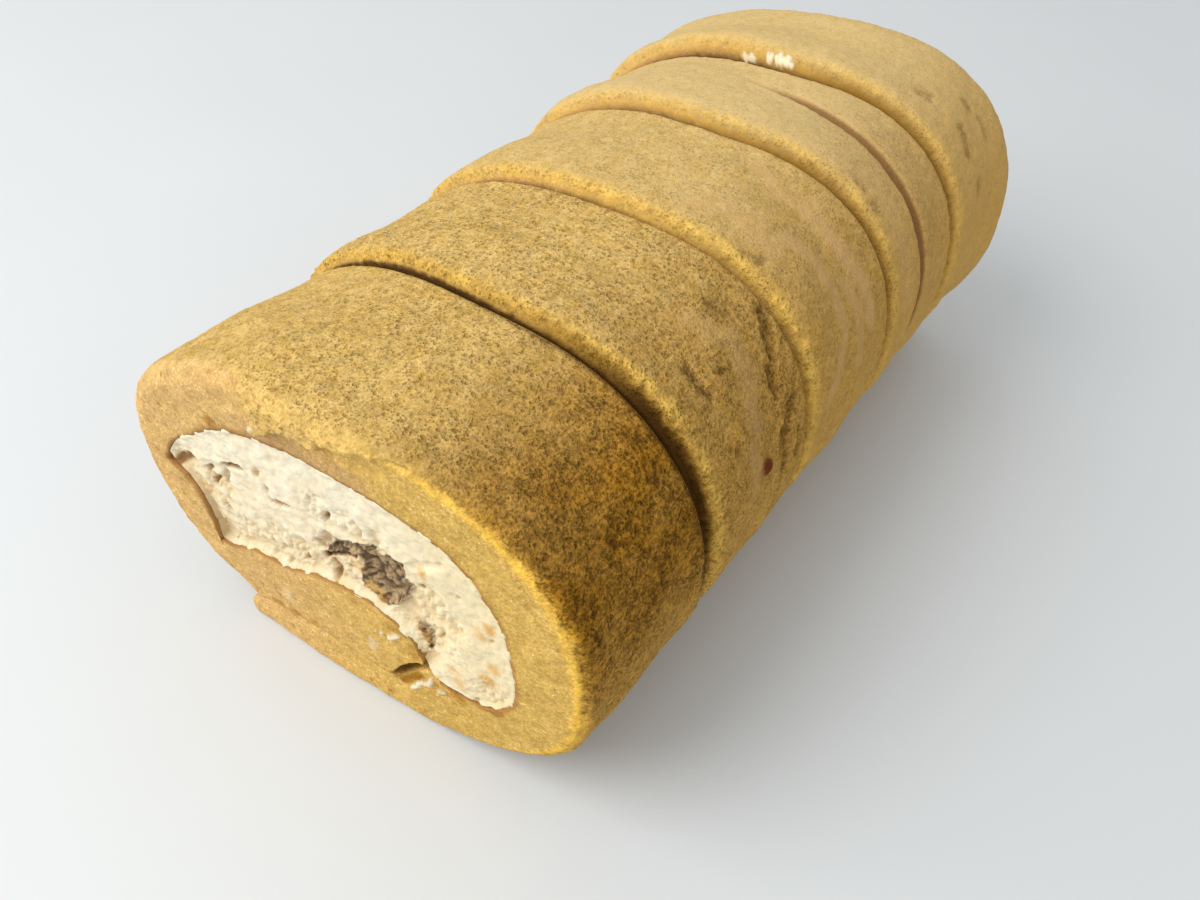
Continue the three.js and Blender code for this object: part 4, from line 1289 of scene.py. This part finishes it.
def sponge_material():
    m = Nodes(bpy.data.materials.new("sponge_crumb"))
    place = m.place()
    stirred = m.stirred(place, 0.9, 0.3)
    broad = m.between(m.noise(place, 9, 3), 0.36, 0.64)
    patches = m.between(m.noise(place, 2.6, 3, 0.6), 0.38, 0.64)
    grain = m.noise(place, 2.2, 3, 1)
    holes = m.spots(stirred, 0.95, 0.16, 0.38)
    holes = m.maths("MAXIMUM", holes, m.times(m.spots(stirred, 0.52, 0.16, 0.36), 0.7))
    holes = m.times(holes, m.between(m.noise(place, 3, 3, 0.6), 0.36, 0.58, 0.35, 1))
    pale, gold, porous = (m.mask(name) for name in ("pale", "gold", "porous"))
    brown_and_shade = m.times(m.mask("brown_and_shade"), m.turned(broad, 0.86, 1))

    skin = m.blend(pale, SKIN_PALE, SKIN_LIGHT)
    skin = m.blend(m.times(patches, m.turned(pale, 0.6, 0.15)), skin, SKIN_GOLD)
    # Tan and brown on the right side: partly the crust's own colour, partly painted shade of the side
    # turned from the light.
    skin = m.paint(skin, SKIN_TAN_AND_SHADE, "side", 0.7)
    skin = m.blend(brown_and_shade, skin, SKIN_BROWN_AND_SHADE)
    skin = m.paint(skin, FRESH_YELLOW, "fresh", m.turned(patches, 0.9, 0.5))

    cut = m.blend(gold, FACE_PEACH, FACE_GOLD)
    cut = m.blend(m.times(patches, m.turned(gold, 0.12, 0.24)), cut, FACE_SPECK)
    glints = m.times(m.spots(stirred, 0.75, 0.14, 0.34, 0.7), m.between(grain, 0.45, 0.6))
    cut = m.blend(glints, cut, FACE_GLINT)
    # Pinkish-brown strip under the overhanging lip: partly the face's own colour, partly painted shade of
    # the lip.
    cut = m.paint(cut, BLUSH_AND_SHADE, "blush_and_shade", 0.7)
    dots = m.spots(stirred, 4.2, 0.06, 0.16, 0.5)
    # Orange-brown dots and stains: the crumb's own specks, and painted shade below the crack and the
    # cream's lower edge.
    cut = m.blend(m.maths("MAXIMUM", dots, m.times(m.mask("stain_and_shade"), 0.95)), cut, STAIN_AND_SHADE_ORANGE)

    colour = m.blend(m.mask("face"), skin, cut)
    # Painted highlight on the lit ridge of the first face's right edge.
    colour = m.paint(colour, RIDGE_HIGHLIGHT_YELLOW, "lit_ridge", m.turned(patches, 0.9, 0.55))
    # Golden rims: partly the crumb's own colour, partly painted highlight of the lit front edges.
    colour = m.paint(colour, RIM_GOLD_HIGHLIGHT, "lit_rim", m.turned(patches, 0.8, 0.4))

    # Random tone over the crumb. It is stronger on the browner right side, where it partly stands in for
    # the shade of the crumb's relief.
    swing = m.times(m.between(grain, 0.37, 0.63, -1, 1), 0.75)
    swing = m.maths("ADD", swing, m.between(m.noise(place, 0.45, 1), 0.34, 0.66, -0.6, 0.6))
    swing = m.maths("ADD", swing, m.between(m.noise(place, 5, 2, 0.6), 0.35, 0.65, -0.25, 0.25))
    contrast = m.maths("MAXIMUM", m.times(porous, 0.2), m.times(brown_and_shade, 0.5))
    contrast = m.maths("MAXIMUM", contrast, m.turned(pale, 0.17, 0.06))
    colour = m.scaled(colour, m.maths("ADD", m.times(swing, contrast), 1.02))

    # Painted shade in the pores, darker on the side turned from the light.
    coarse = m.times(m.between(m.mask("pore"), 0.1, 0.6), 0.5)
    shaded_holes = m.maths("MAXIMUM", m.times(holes, m.times(porous, 0.62)), coarse)
    colour = m.blend(shaded_holes, colour, m.blend(brown_and_shade, PORE_SHADE_ON_TOP, PORE_SHADE_ON_SIDE))
    colour = m.paint(colour, FILM_PINK, "film", 0.6)
    colour = m.paint(colour, TEAR_DARK, "dark", m.between(grain, 0.35, 0.6, 0.9, 0.45))
    colour = m.paint(colour, SPOT_RED, "spot")
    # Painted shade in the band sunk round the fourth slice.
    colour = m.blend(m.between(m.mask("band"), 0.03, 0.5, 0, 0.9), colour, BAND_SHADE_BROWN)
    # Painted shade in the cuts.
    colour = m.paint(colour, GROOVE_SHADE_BROWN, "groove_shade", 0.85)
    # Brown line at the cream: the sheet's baked inner skin, widened on the left by painted shade.
    colour = m.paint(colour, CRUST_AND_SHADE_BROWN, "crust_and_shade", 0.8)
    # Painted shade deep in the cuts.
    colour = m.paint(colour, GAP_SHADE, "deep", 0.92)
    colour = m.paint(colour, CREAM_LIGHT, "touch")

    rise = m.times(grain, m.turned(pale, 1.4, 0.6))
    height = m.maths("SUBTRACT", rise, m.times(m.times(holes, porous), 0.8))
    m.set(m.shader, {
        "Base Color": colour,
        "Normal": m.bump(height, 0.3),
        "Roughness": 0.85,
        "Specular IOR Level": 0.06,
        "Subsurface Weight": 0.1,
        "Subsurface Scale": 0.001,
        "Subsurface Radius": (1.2, 0.6, 0.2),
    })
    return m.owner


SUNK_SHADE_BEIGE = (0.66, 0.47, 0.25)
FLECK_ORANGE = (0.74, 0.41, 0.10)
SLIT_SHADE_TAN = (0.36, 0.19, 0.055)
SLIT_SHADE_DARK = (0.03, 0.012, 0.004)
CRUMB_LIT_TAN = (0.47, 0.315, 0.155)
CRUMB_SHADED_BROWN = (0.10, 0.054, 0.018)
RUST_LIT = (0.60, 0.37, 0.12)
RUST_SHADED = (0.20, 0.085, 0.015)


def cream_material():
    m = Nodes(bpy.data.materials.new("cream_filling"))
    place = m.place()
    patches = m.between(m.noise(place, 3, 3, 0.6), 0.4, 0.66)
    grain = m.noise(place, 0.7, 3, 0.7)
    crumb, slit_shade = m.mask("crumb"), m.mask("slit_shade")
    colour = m.blend(m.times(m.mask("yellow"), 0.6), CREAM_LIGHT, CREAM_YELLOW)
    colour = m.blend(m.times(patches, 0.32), colour, CREAM_WARM)
    # Painted shade: the cream turns warmer and darker where it lies deeper.
    colour = m.blend(m.between(m.mask("valley_shade"), 0.55, 1.5, 0, 0.75), colour, CREAM_WARM)
    # Beige painted shade over the sunken left end of the cream, by the sponge wall.
    colour = m.paint(colour, SUNK_SHADE_BEIGE, "sunk", 0.6)
    colour = m.paint(colour, FLECK_ORANGE, "fleck")
    # The torn crumb in the hollows, orange in places: painted light on the tops of its lumps and painted
    # shade between them, broken up by its own grain.
    light = m.times(m.between(m.mask("lump"), 0.1, 0.65), m.between(grain, 0.35, 0.6, 0.5, 1))
    torn = m.paint(m.blend(light, CRUMB_SHADED_BROWN, CRUMB_LIT_TAN), m.blend(light, RUST_SHADED, RUST_LIT), "rust")
    colour = m.blend(crumb, colour, torn)
    # Tan and dark painted shade in the slits and pits, and along the sponge wall.
    tan = m.times(m.between(slit_shade, 0.05, 0.6), m.turned(crumb, 1, 0))
    colour = m.blend(tan, colour, SLIT_SHADE_TAN)
    colour = m.blend(m.between(slit_shade, 0.5, 0.95), colour, SLIT_SHADE_DARK)
    m.set(m.shader, {
        "Base Color": colour,
        "Normal": m.bump(grain, 0.12),
        "Roughness": 0.5,
        "Specular IOR Level": 0.3,
        "Subsurface Weight": 0.2,
        "Subsurface Scale": 0.001,
        "Subsurface Radius": (1.6, 1.1, 0.6),
    })
    return m.owner


# ---- The roll -----------------------------------------------------------------------------------

sponge = sponge_material()
cream = cream_material()

for index in range(len(SLICES)):
    crumb = sponge_piece(index, sponge)
    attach(crumb, "root")
    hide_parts(f"sponge_{index + 1}")

for index, steps, face_sign in [(0, CREAM_STEPS, -1), (LAST, BACK_STEPS, 1)]:
    torn = cream_piece(index, cream, steps, face_sign)
    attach(torn, "root")
    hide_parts(f"cream_{index + 1}")

for index in range(1, LAST):
    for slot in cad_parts[f"cream_{index + 1}"].material_slots:
        slot.material = cream


# ---- Floor, light and camera --------------------------------------------------------------------

FLOOR_HALF = 2.0
FLOOR_DROP = 0.0002
FLOOR_TONES = (0.64, 0.66, 0.67), (0.67, 0.69, 0.70)
# A large soft window at the front left, and a white room that is brighter on its side.
WINDOW = {"place": (-0.26, -0.34, 0.48), "aim": (0, 0, 0.02), "size": 0.5, "watts": 2.6}
WINDOW_COLOUR = (1, 0.99, 0.97)
ROOM_COLOUR = (0.97, 0.99, 1)
ROOM_LIGHT = 0.62
ROOM_SWING = 0.34
ROOM_BRIGHT_SIDE = (-0.4, -0.6, 0.7)


def make_floor():
    m = Nodes(bpy.data.materials.new("pale_floor"))
    colour = m.blend(m.noise(m.place(), 60, 2), *FLOOR_TONES)
    m.set(m.shader, {"Base Color": colour, "Roughness": 0.5})
    mesh = bpy.data.meshes.new("floor")
    turns = [(-1, -1), (1, -1), (1, 1), (-1, 1)]
    corners = [(FLOOR_HALF * x, FLOOR_HALF * y, -FLOOR_DROP) for x, y in turns]
    mesh.from_pydata(corners, [], [(0, 1, 2, 3)])
    mesh.materials.append(m.owner)
    floor = bpy.data.objects.new("floor", mesh)
    bpy.context.scene.collection.objects.link(floor)


def soft_light(name, place, aim, size, watts, colour):
    light = bpy.data.lights.new(name, "AREA")
    light.shape = "DISK"
    light.size = size
    light.energy = watts
    light.color = colour
    lamp = bpy.data.objects.new(name, light)
    lamp.location = place
    lamp.rotation_euler = (Vector(aim) - Vector(place)).to_track_quat("-Z", "Y").to_euler()
    bpy.context.scene.collection.objects.link(lamp)


def set_world():
    m = Nodes(bpy.data.worlds.new("studio"), "Background")
    around = m.add("ShaderNodeTexCoord", {}, "Generated")
    bright = {0: around, 1: Vector(ROOM_BRIGHT_SIDE).normalized()}
    lean = m.add("ShaderNodeVectorMath", bright, "Value", operation="DOT_PRODUCT")
    level = m.add("ShaderNodeMath", {0: lean, 1: ROOM_SWING, 2: ROOM_LIGHT}, operation="MULTIPLY_ADD")
    m.set(m.shader, {"Color": (*ROOM_COLOUR, 1), "Strength": level})
    bpy.context.scene.world = m.owner


# The camera: where it stands from the middle of the first face, in mm, and how it is turned.
CAMERA_PLACE = (77.908, -47.472, 154.614)
AZIMUTH = 34.779
ELEVATION = 48.683
ROLL = 2.387
LENS = 30.304
SENSOR = 36


def make_camera():
    camera = bpy.data.cameras.new("camera")
    camera.sensor_width = SENSOR
    camera.lens = LENS
    camera.clip_start = 0.005
    holder = bpy.data.objects.new("camera", camera)
    turns = [(AZIMUTH, "Z"), (90 - ELEVATION, "X"), (ROLL, "Z")]
    holder.matrix_world = Matrix.Translation(Vector(in_frame(np.array(CAMERA_PLACE))))
    for degrees, axis in turns:
        holder.matrix_world = holder.matrix_world @ Matrix.Rotation(math.radians(degrees), 4, axis)
    bpy.context.scene.collection.objects.link(holder)
    bpy.context.scene.camera = holder


make_floor()
soft_light("window", **WINDOW, colour=WINDOW_COLOUR)
set_world()
make_camera()
bpy.context.scene.view_settings.view_transform = "Standard"

bpy.context.view_layer.update()
